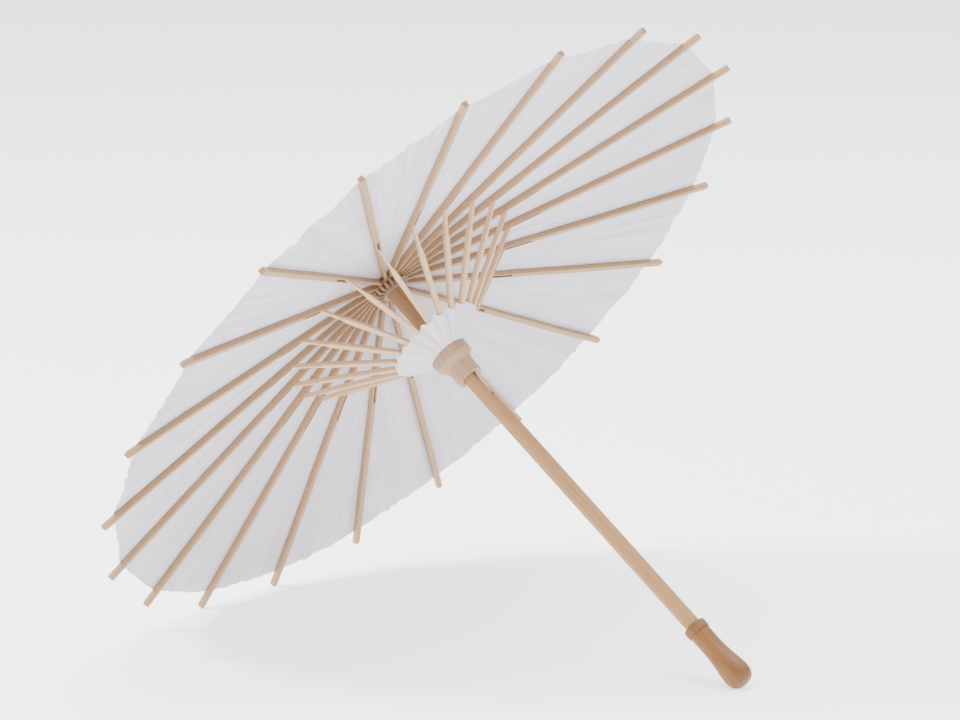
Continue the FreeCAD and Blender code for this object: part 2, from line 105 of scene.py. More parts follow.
# split bamboo: spread of a node's swelling, outer grid line, corner rounding, depth of a cut face
NODE_SPREAD, OUTER_LINE, CORNER_DRAW, CUT_FACE = 0.0014, 0.44, 0.045, 0.0004

# edges that turn by more than this, in degrees, stay sharp
SHARP_CUT, SHARP_BAR, SHARP_TURNED, SHARP_SOFT = 35.0, 38.0, 50.0, 60.0

PANEL_STRETCHERS = 3        # stretchers under one panel of the sleeve
SLEEVE_SAG = 0.0021         # how far a panel sinks in between two stretchers


# ---------------------------------------------------------------- where things are

def lay_matrix(pin_level):
    """The turn and shift from the upright umbrella to the one lying on the floor."""
    up = -Vector(JOINTS["runner_slide"]["axis"]).normalized()
    across = Vector((0.0, -1.0, 0.0))
    under = across.cross(up).normalized()
    pins = [Vector(JOINTS[f"rib_hinge_{n:02d}"]["pos_m"]) for n in range(1, COUNT + 1)]
    middle = sum(pins, Vector()) / COUNT
    turn = Matrix((under, across, up)).transposed().to_4x4()
    return Matrix.Translation(middle - up * pin_level) @ turn


def rib_turn(n):
    """Direction of rib n round the shaft."""
    return (n - 0.5) * 2.0 * HALF_GORE


def rib_lean(rib, n):
    """Small sideways turn of rib n about its pin."""
    n = (n - 1) % COUNT + 1
    return rib.stray if n == rib.stray_rib else rib.uneven * math.sin(2.4 * n)


# ---------------------------------------------------------------- the user's sizes

def length(name, text, default):
    return FloatProperty(name=name, description=text, default=default, min=0.0,
                         unit='LENGTH', precision=5)


def level(name, text, default):
    return FloatProperty(name=name, description=text, default=default,
                         unit='LENGTH', precision=5)


def angle(name, text, default):
    return FloatProperty(name=name, description=text, default=default, subtype='ANGLE')


def colour(name, text, default):
    return FloatVectorProperty(name=name, description=text, default=default,
                               subtype='COLOR', size=3, min=0.0, max=1.0)


class UMBRELLA_PG_ribs(bpy.types.PropertyGroup):
    pin_radius: length("Pin circle", "Radius of the thread that the ribs turn on", 0.008)
    pin_level: level("Pin level", "Height of that thread over the rib tips", 0.0325)
    tip_radius: length("Tip circle", "Radius of the circle of rib tips", 0.200)
    below: length("Depth below", "Rib depth under its pin line", 0.0010)
    above: length("Depth above", "Rib depth over its pin line", 0.0020)
    eye_width: length("Eye width", "Width of the thinned end in the notch", 0.0012)
    eye_length: length("Eye length", "Length of that thinned end", 0.0065)
    neck_width: length("Neck width", "Width just outside the notch", 0.0016)
    joint_width: length("Joint width", "Width where the stretcher joins", 0.0028)
    tip_width: length("Tip width", "Width of the square-cut tip", 0.0030)
    joint_radius: length("Joint circle", "Radius where the stretchers join", 0.070)
    joint_level: level("Joint level", "Height of the stretcher joints", 0.0220)
    gap_width: length("Gap width", "Width of the gap for the stretcher", 0.0013)
    gap_inward: length("Gap inward", "Gap length from the joint to the shaft", 0.0040)
    gap_outward: length("Gap outward", "Gap length from the joint to the tip", 0.0175)
    bow: length("Bow", "How far a rib wanders from a straight line", 0.0004)
    uneven: angle("Uneven", "How far ribs stray sideways from even spacing", 0.004)
    stray_rib: IntProperty(name="Stray rib", description="The rib that strays most", default=18)
    stray: angle("Stray", "How far that rib strays sideways", 0.0135)


class UMBRELLA_PG_stretchers(bpy.types.PropertyGroup):
    pin_radius: length("Pin circle", "Radius of the runner's thread", 0.0076)
    pin_level: level("Pin level", "Level of the runner's thread", -0.0160)
    half_depth: length("Half depth", "Half the depth of a stretcher", 0.0012)
    eye_width: length("Eye width", "Width of the end in the runner", 0.0012)
    eye_length: length("Eye length", "Length of that end", 0.0060)
    width: length("Width", "Full width of the flat face", 0.0025)
    full_at: length("Full width at", "Distance from the thread to full width", 0.0240)
    tongue_width: length("Tongue width", "Width of the end inside the rib", 0.0012)
    tongue_length: length("Tongue length", "Length of that end", 0.0130)
    shoulder: length("Shoulder", "Length of the taper to the tongue", 0.0030)
    overhang: length("Overhang", "Length of the pointed end past its pin", 0.0013)
    bow: length("Bow", "How far a stretcher wanders from a line", 0.00015)


class UMBRELLA_PG_stick(bpy.types.PropertyGroup):
    radius: length("Shaft radius", "Radius of the shaft", 0.004)
    top: level("Shaft top", "Level of the shaft's top end", 0.046)
    stub_radius: length("Stub radius", "Radius of the thinner top end", 0.0035)
    stub_level: level("Stub level", "Level where the top end gets thinner", 0.0401)
    ring_top: level("Ring top", "Level of the top of the handle's ring", -0.203)
    slot_width: length("Catch slot width", "Width of the slot for the catch", 0.0015)
    slot_top: level("Catch slot top", "Level of the slot's upper end", -0.0326)
    slot_foot: level("Catch slot foot", "Level of the slot's lower end", -0.0484)
    slot_depth: length("Catch slot depth", "How deep the slot goes", 0.0021)
    catch_turn: angle("Catch direction", "Turn of the catch round the shaft", math.radians(175.0))
    catch_pin_level: level("Catch pin level", "Level of the catch's pin", -0.0466)
    catch_pin_radius: length("Catch pin radius", "Distance of that pin from the axis", 0.0032)
    catch_top: level("Catch top", "Level of the catch's upper end", -0.0337)
    catch_reach: length("Catch reach", "Radius that the catch reaches", 0.0056)
    catch_width: length("Catch width", "Width of the catch", 0.0012)
    catch_depth: length("Catch depth", "Thickness of the catch", 0.0009)


class UMBRELLA_PG_paper(bpy.types.PropertyGroup):
    radius: length("Canopy radius", "Radius of the paper's cut edge at a rib", 0.1925)
    start: length("Canopy start", "Radius where the paper begins", 0.0087)
    gap: length("Paper gap", "Glue line between a rib and the paper", 0.00015)
    thickness: length("Paper thickness", "Thickness of the canopy paper", 0.0003)
    sag: length("Sag", "How far the paper hangs in between two ribs", 0.0011)
    crease: length("Crease", "Depth of the fold line down a gore's middle", 0.0005)
    wrinkle: length("Wrinkle", "Height of the small wrinkles", 0.0011)
    ragged: length("Ragged edge", "How uneven the cut edge is", 0.0013)
    fold_slant: angle("Fold slant", "Slant of the closed paper's folds", math.radians(11.0))
    sleeve_start: length("Sleeve start", "Radius where the sleeve begins", 0.0104)
    sleeve_end: length("Sleeve end", "Radius of the sleeve's edge", 0.0255)
    sleeve_thickness: length("Sleeve thickness", "Thickness of the sleeve paper", 0.00025)
    cap_radius: length("Cap radius", "Radius of the paper cap on the crown", 0.013)
    cap_thickness: length("Cap thickness", "Thickness of the cap paper", 0.0004)
    seed: IntProperty(name="Seed", description="Seed of the uneven paper", default=7)


class UMBRELLA_PG_colours(bpy.types.PropertyGroup):
    paper: colour("Oiled paper", "Colour of the canopy paper", (0.72, 0.69, 0.74))
    sleeve: colour("Sleeve paper", "Colour of the sleeve paper", (0.84, 0.80, 0.82))
    rib: colour("Rib bamboo", "Colour of the ribs", (0.44, 0.262, 0.125))
    rib_dark: colour("Rib grain", "Colour of the ribs' dark fibres", (0.20, 0.10, 0.05))
    stretcher: colour("Stretcher bamboo", "Colour of the stretchers", (0.72, 0.47, 0.26))
    stretcher_dark: colour("Stretcher grain", "Colour of their dark fibres", (0.36, 0.20, 0.11))
    turned: colour("Turned wood", "Colour of the notch and runner", (0.38, 0.23, 0.135))
    turned_dark: colour("Turned grain", "Colour of their grain", (0.29, 0.17, 0.098))
    shaft: colour("Shaft wood", "Colour of the shaft", (0.40, 0.200, 0.064))
    shaft_dark: colour("Shaft grain", "Colour of the shaft's grain", (0.24, 0.135, 0.07))
    handle: colour("Handle wood", "Colour of the handle", (0.22, 0.088, 0.012))
    handle_dark: colour("Handle grain", "Colour of the handle's grain", (0.115, 0.040, 0.007))
    cap: colour("Cap paper", "Colour of the cap on the crown", (0.62, 0.62, 0.68))
    thread: colour("Thread", "Colour of the threads", (0.52, 0.45, 0.36))
    floor: colour("Floor", "Colour of the floor", (0.93, 0.93, 0.93))


class UMBRELLA_PG_all(bpy.types.PropertyGroup):
    ribs: PointerProperty(type=UMBRELLA_PG_ribs)
    stretchers: PointerProperty(type=UMBRELLA_PG_stretchers)
    stick: PointerProperty(type=UMBRELLA_PG_stick)
    paper: PointerProperty(type=UMBRELLA_PG_paper)
    colours: PointerProperty(type=UMBRELLA_PG_colours)


# ---------------------------------------------------------------- node helpers

def add(tree, kind, inputs=None, **settings):
    """A node with its settings, and its inputs given as numbers or as other nodes' sockets."""
    node = tree.nodes.new(kind)
    for key, value in settings.items():
        setattr(node, key, value)
    for key, value in (inputs or {}).items():
        if isinstance(value, bpy.types.NodeSocket):
            tree.links.new(value, node.inputs[key])
        else:
            node.inputs[key].default_value = value
    return node


def calc(tree, operation, *terms, clamp=False):
    node = add(tree, "ShaderNodeMath", dict(enumerate(terms)), operation=operation)
    node.use_clamp = clamp
    return node.outputs[0]


def ramp(tree, value, start, end, low=0.0, high=1.0, smooth=False):
    """low up to start, high from end on, and a straight or smooth slope in between."""
    return add(tree, "ShaderNodeMapRange", {
        "Value": value, "From Min": start, "From Max": end, "To Min": low, "To Max": high,
    }, interpolation_type='SMOOTHSTEP' if smooth else 'LINEAR').outputs[0]


def vector(tree, x=0.0, y=0.0, z=0.0):
    return add(tree, "ShaderNodeCombineXYZ", {"X": x, "Y": y, "Z": z}).outputs[0]


def toned(tree, base, tone):
    """A colour made lighter or darker by a tone."""
    return add(tree, "ShaderNodeVectorMath", {0: base, "Scale": tone}, operation='SCALE').outputs[0]


def product(tree, first, *others):
    """The first term times each of the others."""
    for other in others:
        first = calc(tree, 'MULTIPLY', first, other)
    return first


def shape_tree(name, sockets):
    """A geometry node tree with named inputs, each (kind, default)."""
    tree = bpy.data.node_groups.new(name, "GeometryNodeTree")
    for label, (kind, default) in sockets.items():
        socket = tree.interface.new_socket(label, in_out='INPUT', socket_type="NodeSocket" + kind)
        if default is not None:
            socket.default_value = default
    tree.interface.new_socket("Geometry", in_out='OUTPUT', socket_type="NodeSocketGeometry")
    return tree, tree.nodes.new("NodeGroupInput").outputs


def end_tree(tree, geometry, material, chosen=True):
    """Ends a shape's tree in Realize Instances and Set Material."""
    real = add(tree, "GeometryNodeRealizeInstances", {"Geometry": geometry})
    final = add(tree, "GeometryNodeSetMaterial", {
        "Geometry": real.outputs[0], "Selection": chosen, "Material": material})
    tree.links.new(final.outputs[0], tree.nodes.new("NodeGroupOutput").inputs[0])
    return tree


def carve(tree, solid, cutter):
    """One closed mesh cut out of another."""
    cut = tree.nodes.new("GeometryNodeMeshBoolean")
    cut.operation, cut.solver = 'DIFFERENCE', 'EXACT'
    tree.links.new(solid, cut.inputs["Mesh 1"])
    tree.links.new(cutter, cut.inputs["Mesh 2"])
    return cut.outputs[0]


def mark_grain(tree, geometry, spot=None):
    """Keeps each point's place as the "grain" attribute that its material reads."""
    if spot is None:
        spot = tree.nodes.new("GeometryNodeInputPosition").outputs[0]
    return add(tree, "GeometryNodeStoreNamedAttribute", {
        "Geometry": geometry, "Name": "grain", "Value": spot},
        data_type='FLOAT_VECTOR', domain='POINT').outputs[0]


def tree_once(name, make):
    return bpy.data.node_groups.get(name) or make()


def grow(tree, values, start=None):
    """Runs a node tree on a mesh, empty or given, and returns the plain mesh it makes."""
    obj = bpy.data.objects.new(tree.name, start or bpy.data.meshes.new(tree.name))
    bpy.context.scene.collection.objects.link(obj)
    modifier = obj.modifiers.new(tree.name, 'NODES')
    modifier.node_group = tree
    for item in tree.interface.items_tree:
        if item.in_out == 'INPUT' and item.name in values:
            modifier[item.identifier] = values[item.name]
    depsgraph = bpy.context.evaluated_depsgraph_get()
    made = bpy.data.meshes.new_from_object(obj.evaluated_get(depsgraph),
                                           preserve_all_data_layers=True, depsgraph=depsgraph)
    old = obj.data
    bpy.data.objects.remove(obj)
    bpy.data.meshes.remove(old)
    if not made.polygons:
        raise RuntimeError(f"{tree.name} made nothing")
    return made


def place(name, mesh, matrix, body, nodes=(), sharp=40.0):
    """Puts a finished mesh in the model as a piece on a body."""
    mesh.transform(matrix)
    mesh.name = name
    mesh.shade_smooth()
    mesh.set_sharp_from_angle(angle=math.radians(sharp))
    obj = bpy.data.objects.new(name, mesh)
    bpy.context.scene.collection.objects.link(obj)
    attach(obj, body)
    if nodes:
        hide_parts(*nodes)
    return obj


def faces_mesh(name, points, faces, material):
    mesh = bpy.data.meshes.new(name)
    mesh.from_pydata(points, [], faces)
    mesh.materials.append(material)
    mesh.validate()
    return mesh


def face_outwards(mesh, merge=0.0):
    """Turns the faces outwards. With merge, a seam's points and inner walls go first."""
    work = bmesh.new()
    work.from_mesh(mesh)
    if merge:
        bmesh.ops.remove_doubles(work, verts=work.verts, dist=merge)
        walls = [face for face in work.faces
                 if sum(len(edge.link_faces) > 2 for edge in face.edges) >= 3]
        bmesh.ops.delete(work, geom=walls, context='FACES')
    bmesh.ops.recalc_face_normals(work, faces=work.faces)
    work.to_mesh(mesh)
    work.free()


# ---------------------------------------------------------------- materials

def new_material(name):
    """A node material, with its tree and its shader."""
    material = bpy.data.materials.new(name)
    material.use_nodes = True
    tree = material.node_tree
    tree.nodes.clear()
    shader = tree.nodes.new("ShaderNodeBsdfPrincipled")
    output = tree.nodes.new("ShaderNodeOutputMaterial")
    tree.links.new(shader.outputs[0], output.inputs["Surface"])
    return material, tree, shader


def speckle(tree, coords, stretch, scale=1.0, detail=4.0, rough=0.55, turn=0.0):
    """Noise on coordinates that are stretched first: stretch is in cycles to the metre."""
    scaled = add(tree, "ShaderNodeVectorMath", {0: coords, 1: stretch}, operation='MULTIPLY')
    return add(tree, "ShaderNodeTexNoise", {
        "Vector": scaled.outputs[0], "Scale": scale, "Detail": detail, "Roughness": rough,
        "Distortion": turn}).outputs["Fac"]


def blend_colours(tree, share, first, second, kind='MIX'):
    node = add(tree, "ShaderNodeMix", data_type='RGBA', blend_type=kind)
    for socket, value in ((node.inputs[0], share), (node.inputs[6], first),
                          (node.inputs[7], second)):
        if isinstance(value, bpy.types.NodeSocket):
            tree.links.new(value, socket)
        elif isinstance(value, float):
            socket.default_value = value
        else:
            socket.default_value = (*value, 1.0)
    return node.outputs[2]


def relief(tree, shader, height, distance, strength=0.5):
    bump = add(tree, "ShaderNodeBump", {"Height": height, "Distance": distance,
                                        "Strength": strength})
    tree.links.new(bump.outputs[0], shader.inputs["Normal"])
    return bump.outputs[0]


def upright_coords(tree, lay):
    """Object coordinates turned back upright, so that grain runs along the shaft."""
    coords = tree.nodes.new("ShaderNodeTexCoord").outputs["Object"]
    back = lay.inverted()
    return add(tree, "ShaderNodeMapping", {
        "Vector": coords, "Location": back.to_translation(), "Rotation": back.to_euler(),
    }).outputs[0]


def own_coords(tree, attribute):
    return add(tree, "ShaderNodeAttribute", attribute_name=attribute).outputs["Vector"]


def wood(name, coords_of, light, dark, along=14.0, across=420.0, gloss=0.42, depth=0.00008,
         axis="Z", pores=0.5):
    """Straight-grained wood or bamboo: streaks, fine pores and a slow drift of colour."""
    material, tree, shader = new_material(name)
    coords = coords_of(tree)
    long_first = axis == "X"

    def stretch(run, side):
        return (run, side, side) if long_first else (side, side, run)

    streaks = speckle(tree, coords, stretch(along, across), detail=5.0, rough=0.6, turn=0.3)
    fine = speckle(tree, coords, stretch(along * 5.0, across * 5.5), detail=3.0, rough=0.7)
    drift = speckle(tree, coords, stretch(along * 0.8, across * 0.12), detail=2.0)
    lines = ramp(tree, streaks, 0.42, 0.66)
    dashes = ramp(tree, fine, 0.56, 0.72)
    base = blend_colours(tree, calc(tree, 'MULTIPLY', lines, 0.85), light, dark)
    pored = blend_colours(tree, calc(tree, 'MULTIPLY', dashes, pores), base, dark)
    tone = ramp(tree, drift, 0.3, 0.7, 0.84, 1.12)
    tree.links.new(toned(tree, pored, tone), shader.inputs["Base Color"])
    tree.links.new(ramp(tree, streaks, 0.3, 0.7, gloss, gloss + 0.18), shader.inputs["Roughness"])
    height = calc(tree, 'ADD', calc(tree, 'MULTIPLY', lines, -0.5),
                  calc(tree, 'MULTIPLY', dashes, -0.6))
    relief(tree, shader, height, depth)
    return material


def end_grain(name, coords_of, light, dark):
    """Cut ends: dark fibre bundles like dots in a paler ground."""
    material, tree, shader = new_material(name)
    coords = coords_of(tree)
    scaled = add(tree, "ShaderNodeVectorMath", {0: coords, 1: (600.0, 2600.0, 2600.0)},
                 operation='MULTIPLY')
    cells = add(tree, "ShaderNodeTexVoronoi", {"Vector": scaled.outputs[0], "Scale": 1.0,
                                               "Randomness": 0.9})
    dots = ramp(tree, cells.outputs["Distance"], 0.22, 0.45, 1.0, 0.55)
    tree.links.new(blend_colours(tree, dots, light, dark), shader.inputs["Base Color"])
    shader.inputs["Roughness"].default_value = 0.8
    relief(tree, shader, dots, 0.00008)
    return material


def paper(name, base, flecks, see_through, strength=0.35, rough=0.5):
    """Oiled handmade paper: long fibres, cloudy thickness, soft radial streaks (partly the paper's
    own streaks, partly painted shade and light of soft folds) and a dull sheen.
    """
    material, tree, shader = new_material(name)
    coords = tree.nodes.new("ShaderNodeTexCoord").outputs["Object"]
    fold = own_coords(tree, "fold")
    clouds = speckle(tree, coords, (42.0, 42.0, 42.0), detail=5.0, rough=0.6)
    fibres = speckle(tree, coords, (900.0, 260.0, 500.0), detail=3.0, rough=0.7, turn=1.6)
    hairs = speckle(tree, coords, (300.0, 1200.0, 420.0), detail=3.0, rough=0.65, turn=2.2)
    streaks = speckle(tree, fold, (240.0, 7.0, 1.0), detail=4.0, rough=0.62)
    cloud_tone = ramp(tree, clouds, 0.32, 0.68, 0.95, 1.03)
    # painted shade and light: radial streaks darken and lighten the paper's colour, partly its own
    # streaks and partly painted shade of soft folds
    streak_and_fold_shade_tone = ramp(tree, streaks, 0.33, 0.67, 0.89, 1.04)
    fibre_lines = calc(tree, 'MAXIMUM', ramp(tree, fibres, 0.60, 0.72),
                       ramp(tree, hairs, 0.62, 0.73))
    ground = blend_colours(tree, calc(tree, 'MULTIPLY', fibre_lines, strength), base, flecks)
    tone = calc(tree, 'MULTIPLY', cloud_tone, streak_and_fold_shade_tone)
    shown = toned(tree, ground, tone)
    tree.links.new(shown, shader.inputs["Base Color"])
    tree.links.new(ramp(tree, clouds, 0.3, 0.7, rough, rough + 0.16), shader.inputs["Roughness"])
    height = calc(tree, 'ADD', calc(tree, 'MULTIPLY', fibre_lines, 0.35),
                  calc(tree, 'MULTIPLY', streaks, 0.8))
    normal = relief(tree, shader, height, 0.00025, 0.45)
    glow = add(tree, "ShaderNodeBsdfTranslucent", {"Color": shown, "Normal": normal})
    mixed = add(tree, "ShaderNodeMixShader", {0: see_through, 1: shader.outputs[0],
                                              2: glow.outputs[0]})
    output = next(n for n in tree.nodes if n.type == 'OUTPUT_MATERIAL')
    tree.links.new(mixed.outputs[0], output.inputs["Surface"])
    return material


def spun(name, base):
    """Twisted cotton thread."""
    material, tree, shader = new_material(name)
    coords = own_coords(tree, "grain")
    fuzz = speckle(tree, coords, (2500.0, 2500.0, 2500.0), detail=3.0, rough=0.7)
    tone = ramp(tree, fuzz, 0.3, 0.7, 0.7, 1.15)
    tree.links.new(toned(tree, base, tone), shader.inputs["Base Color"])
    shader.inputs["Roughness"].default_value = 0.85
    shader.inputs["Sheen Weight"].default_value = 0.2
    relief(tree, shader, fuzz, 0.00006)
    return material


# ---------------------------------------------------------------- shapes

def rounded(profile, radius, steps=4, closed=False):
    """The profile's corners made round by small arcs."""
    out = []
    count = len(profile)
    for k, point in enumerate(profile):
        if not closed and k in (0, count - 1):
            out.append(point)
            continue
        here = Vector(point)
        back, ahead = Vector(profile[k - 1]) - here, Vector(profile[(k + 1) % count]) - here
        reach = min(radius, back.length * 0.45, ahead.length * 0.45)
        start, end = here + back.normalized() * reach, here + ahead.normalized() * reach
        for step in range(steps + 1):
            t = step / steps
            out.append(tuple((1 - t) ** 2 * start + 2 * t * (1 - t) * here + t * t * end))
    return out


def swept(profile, pieces=10):
    """Points along a smooth line through the profile's points."""
    out = []
    points = [Vector(p) for p in profile]
    for k in range(len(points) - 1):
        before = points[max(k - 1, 0)]
        a, b = points[k], points[k + 1]
        after = points[min(k + 2, len(points) - 1)]
        for step in range(pieces):
            t = step / pieces
            out.append(tuple(0.5 * (
                2 * a + (b - before) * t + (2 * before - 5 * a + 4 * b - after) * t ** 2
                + (3 * a - before - 3 * b + after) * t ** 3)))
    out.append(tuple(points[-1]))
    return out


def outline(table, level):
    """The table's points at a level."""
    return [(radius, level + height) for radius, height in table]


def bored(table, level, bore):
    """A closed profile between a bore and the table's outline."""
    outer = outline(table, level)
    return [(bore, outer[0][1])] + outer + [(bore, outer[-1][1])]


def turned(name, profile, material, around=96, closed=False):
    """A turned solid: the (radius, level) profile spun round the axis, upright."""
    points, faces, rings = [], [], []
    for radius, height in profile:
        if radius < 1e-6:
            rings.append([len(points)])
            points.append((0.0, 0.0, height))
            continue
        rings.append(list(range(len(points), len(points) + around)))
        for k in range(around):
            turn = 2.0 * math.pi * k / around
            points.append((radius * math.cos(turn), radius * math.sin(turn), height))
    pairs = list(zip(rings, rings[1:])) + ([(rings[-1], rings[0])] if closed else [])
    for low, high in pairs:
        for k in range(around):
            n = (k + 1) % around
            if len(low) == 1:
                faces.append((low[0], high[n], high[k]))
            elif len(high) == 1:
                faces.append((low[k], low[n], high[0]))
            else:
                faces.append((low[k], low[n], high[n], high[k]))
    mesh = faces_mesh(name, points, faces, material)
    face_outwards(mesh)
    return mesh


def slotted_ring_tree():
    """Cuts a ring of upright slots in a turned piece."""
    tree, given = shape_tree("Ring of slots", {
        "Geometry": ("Geometry", None), "Count": ("Int", 21), "Slot Width": ("Float", 0.0015),
        "Floor Radius": ("Float", 0.006), "Slot Length": ("Float", 0.006),
        "Slot Foot": ("Float", 0.0), "Slot Height": ("Float", 0.01), "Turn": ("Float", 0.0),
        "Material": ("Material", None)})
    cutter = add(tree, "GeometryNodeMeshCube", {"Size": vector(
        tree, given["Slot Length"], given["Slot Width"], given["Slot Height"])})
    middle = calc(tree, 'ADD', given["Floor Radius"],
                  calc(tree, 'MULTIPLY', given["Slot Length"], 0.5))
    lift = calc(tree, 'ADD', given["Slot Foot"], calc(tree, 'MULTIPLY', given["Slot Height"], 0.5))
    moved = add(tree, "GeometryNodeTransform", {
        "Geometry": cutter.outputs["Mesh"], "Translation": vector(tree, middle, 0.0, lift)})
    spots = add(tree, "GeometryNodePoints", {"Count": given["Count"], "Radius": 0.001})
    index = tree.nodes.new("GeometryNodeInputIndex").outputs[0]
    step = calc(tree, 'DIVIDE', 2.0 * math.pi, given["Count"])
    turn = calc(tree, 'ADD', calc(tree, 'MULTIPLY', index, step), given["Turn"])
    cutters = add(tree, "GeometryNodeInstanceOnPoints", {
        "Points": spots.outputs[0], "Instance": moved.outputs[0],
        "Rotation": vector(tree, 0.0, 0.0, turn)})
    solid = add(tree, "GeometryNodeRealizeInstances", {"Geometry": cutters.outputs[0]})
    return end_tree(tree, carve(tree, given["Geometry"], solid.outputs[0]), given["Material"])


def bamboo_tree():
    """A split bamboo bar along X: eye, taper, shoulder, gap, node swelling, bow and peg."""
    sizes = {
        "Start": 0.001, "Length": 0.19, "Eye Length": 0.006, "Eye Width": 0.0012,
        "Neck Width": 0.0016, "Full At": 0.06, "Full Width": 0.003, "Shoulder At": 0.06,
        "Shoulder Length": 0.1, "End Width": 0.0034, "Below": 0.001, "Above": 0.002,
        "Point Length": 0.002, "Point Depth": 0.8, "Swelling At": 0.1, "Swelling": 0.08,
        "Bow": 0.0, "Gap Width": 0.0, "Gap Start": 0.05, "Gap End": 0.07,
        "Peg At": 0.0, "Peg Length": 0.0, "Peg Radius": 0.0004}
    sockets = {label: ("Float", value) for label, value in sizes.items()}
    sockets.update({"Seed": ("Int", 1), "Bamboo": ("Material", None),
                    "Cut End": ("Material", None), "Peg": ("Material", None)})
    tree, given = shape_tree("Split bamboo", sockets)

    block = add(tree, "GeometryNodeMeshCube", {
        "Size": (1.0, 1.0, 1.0), "Vertices X": 90, "Vertices Y": 5, "Vertices Z": 5})
    split = add(tree, "ShaderNodeSeparateXYZ",
                {0: tree.nodes.new("GeometryNodeInputPosition").outputs[0]}).outputs
    total = calc(tree, 'ADD', given["Length"], given["Start"])
    share = calc(tree, 'ADD', split["X"], 0.5)
    x = calc(tree, 'SUBTRACT', calc(tree, 'MULTIPLY', share, total), given["Start"])

    eye_end = calc(tree, 'ADD', given["Eye Length"], 0.001)
    width = ramp(tree, x, given["Eye Length"], eye_end, given["Eye Width"], given["Neck Width"])
    grown = calc(tree, 'SUBTRACT', given["Full Width"], given["Neck Width"])
    width = calc(tree, 'ADD', width, ramp(tree, x, eye_end, given["Full At"], 0.0, grown))
    shoulder_end = calc(tree, 'ADD', given["Shoulder At"], given["Shoulder Length"])
    change = calc(tree, 'SUBTRACT', given["End Width"], given["Full Width"])
    width = calc(tree, 'ADD', width,
                 ramp(tree, x, given["Shoulder At"], shoulder_end, 0.0, change))
    from_node = calc(tree, 'DIVIDE', calc(tree, 'SUBTRACT', x, given["Swelling At"]),
                     NODE_SPREAD)
    hump = calc(tree, 'EXPONENT', calc(tree, 'MULTIPLY', -1.0,
                                       calc(tree, 'POWER', from_node, 2.0)))
    swell = calc(tree, 'ADD', 1.0, calc(tree, 'MULTIPLY', hump, given["Swelling"]))
    width = calc(tree, 'MULTIPLY', width, swell)

    to_end = calc(tree, 'SUBTRACT', given["Length"], x)
    past = calc(tree, 'SUBTRACT', 1.0, ramp(tree, to_end, 0.0, given["Point Length"]))
    point_drop = calc(tree, 'SUBTRACT', 1.0, given["Point Depth"])
    point = calc(tree, 'SUBTRACT', 1.0, calc(tree, 'MULTIPLY', point_drop,
                                           calc(tree, 'POWER', past, 2.0)))
    from_start = ramp(tree, calc(tree, 'ADD', x, given["Start"]), 0.0, given["Start"])
    away = calc(tree, 'SUBTRACT', 1.0, from_start)
    nose = calc(tree, 'SQRT', calc(tree, 'SUBTRACT', 1.0, calc(tree, 'MULTIPLY', 0.8,
                                                              calc(tree, 'POWER', away, 2.0))))

    def cornered(raw, other):
        """Moves the outer grid lines near the edge and draws the corners in."""
        size = calc(tree, 'ABSOLUTE', raw)
        outer = calc(tree, 'GREATER_THAN', size, 0.4)
        inner = calc(tree, 'MULTIPLY', calc(tree, 'GREATER_THAN', size, 0.1), OUTER_LINE)
        moved = calc(tree, 'MAXIMUM', inner, calc(tree, 'MULTIPLY', outer, 0.5))
        edge = calc(tree, 'GREATER_THAN', calc(tree, 'ABSOLUTE', other), 0.4)
        both = calc(tree, 'MULTIPLY', outer, edge)
        drawn = calc(tree, 'SUBTRACT', 1.0, calc(tree, 'MULTIPLY', both, CORNER_DRAW))
        return product(tree, moved, drawn, calc(tree, 'SIGN', raw))

    y = product(tree, cornered(split["Y"], split["Z"]), width, point)
    depth = product(tree, calc(tree, 'ADD', given["Below"], given["Above"]), point, nose)
    centre = calc(tree, 'MULTIPLY', calc(tree, 'SUBTRACT', given["Above"], given["Below"]), 0.5)
    z = calc(tree, 'ADD', calc(tree, 'MULTIPLY', cornered(split["Z"], split["Y"]), depth), centre)
    shaped = add(tree, "GeometryNodeSetPosition", {"Geometry": block.outputs["Mesh"],
                                                   "Position": vector(tree, x, y, z)})

    # the gap for the stretcher
    gap_run = calc(tree, 'SUBTRACT', given["Gap End"], given["Gap Start"])
    gap_middle = calc(tree, 'MULTIPLY',
                      calc(tree, 'ADD', given["Gap End"], given["Gap Start"]), 0.5)
    cutter = add(tree, "GeometryNodeMeshCube", {
        "Size": vector(tree, gap_run, given["Gap Width"], 0.01)})
    cutter = add(tree, "GeometryNodeTransform", {
        "Geometry": cutter.outputs["Mesh"], "Translation": vector(tree, gap_middle, 0.0, 0.0)})
    gapped = add(tree, "GeometryNodeSwitch", {
        "Switch": calc(tree, 'GREATER_THAN', given["Gap Width"], 0.0), "False": shaped.outputs[0],
        "True": carve(tree, shaped.outputs[0], cutter.outputs[0])}, input_type='GEOMETRY')

    # coordinates that follow the grain, different on each bar
    here = tree.nodes.new("GeometryNodeInputPosition").outputs[0]
    offset = add(tree, "FunctionNodeRandomValue", {"Min": (0.0, 0.0, 0.0), "Max": (5.0, 1.0, 1.0),
                                                   "ID": 0, "Seed": given["Seed"]},
                 data_type='FLOAT_VECTOR')
    grain = add(tree, "ShaderNodeVectorMath", {0: here, 1: offset.outputs[0]}, operation='ADD')
    marked = mark_grain(tree, gapped.outputs[0], grain.outputs[0])

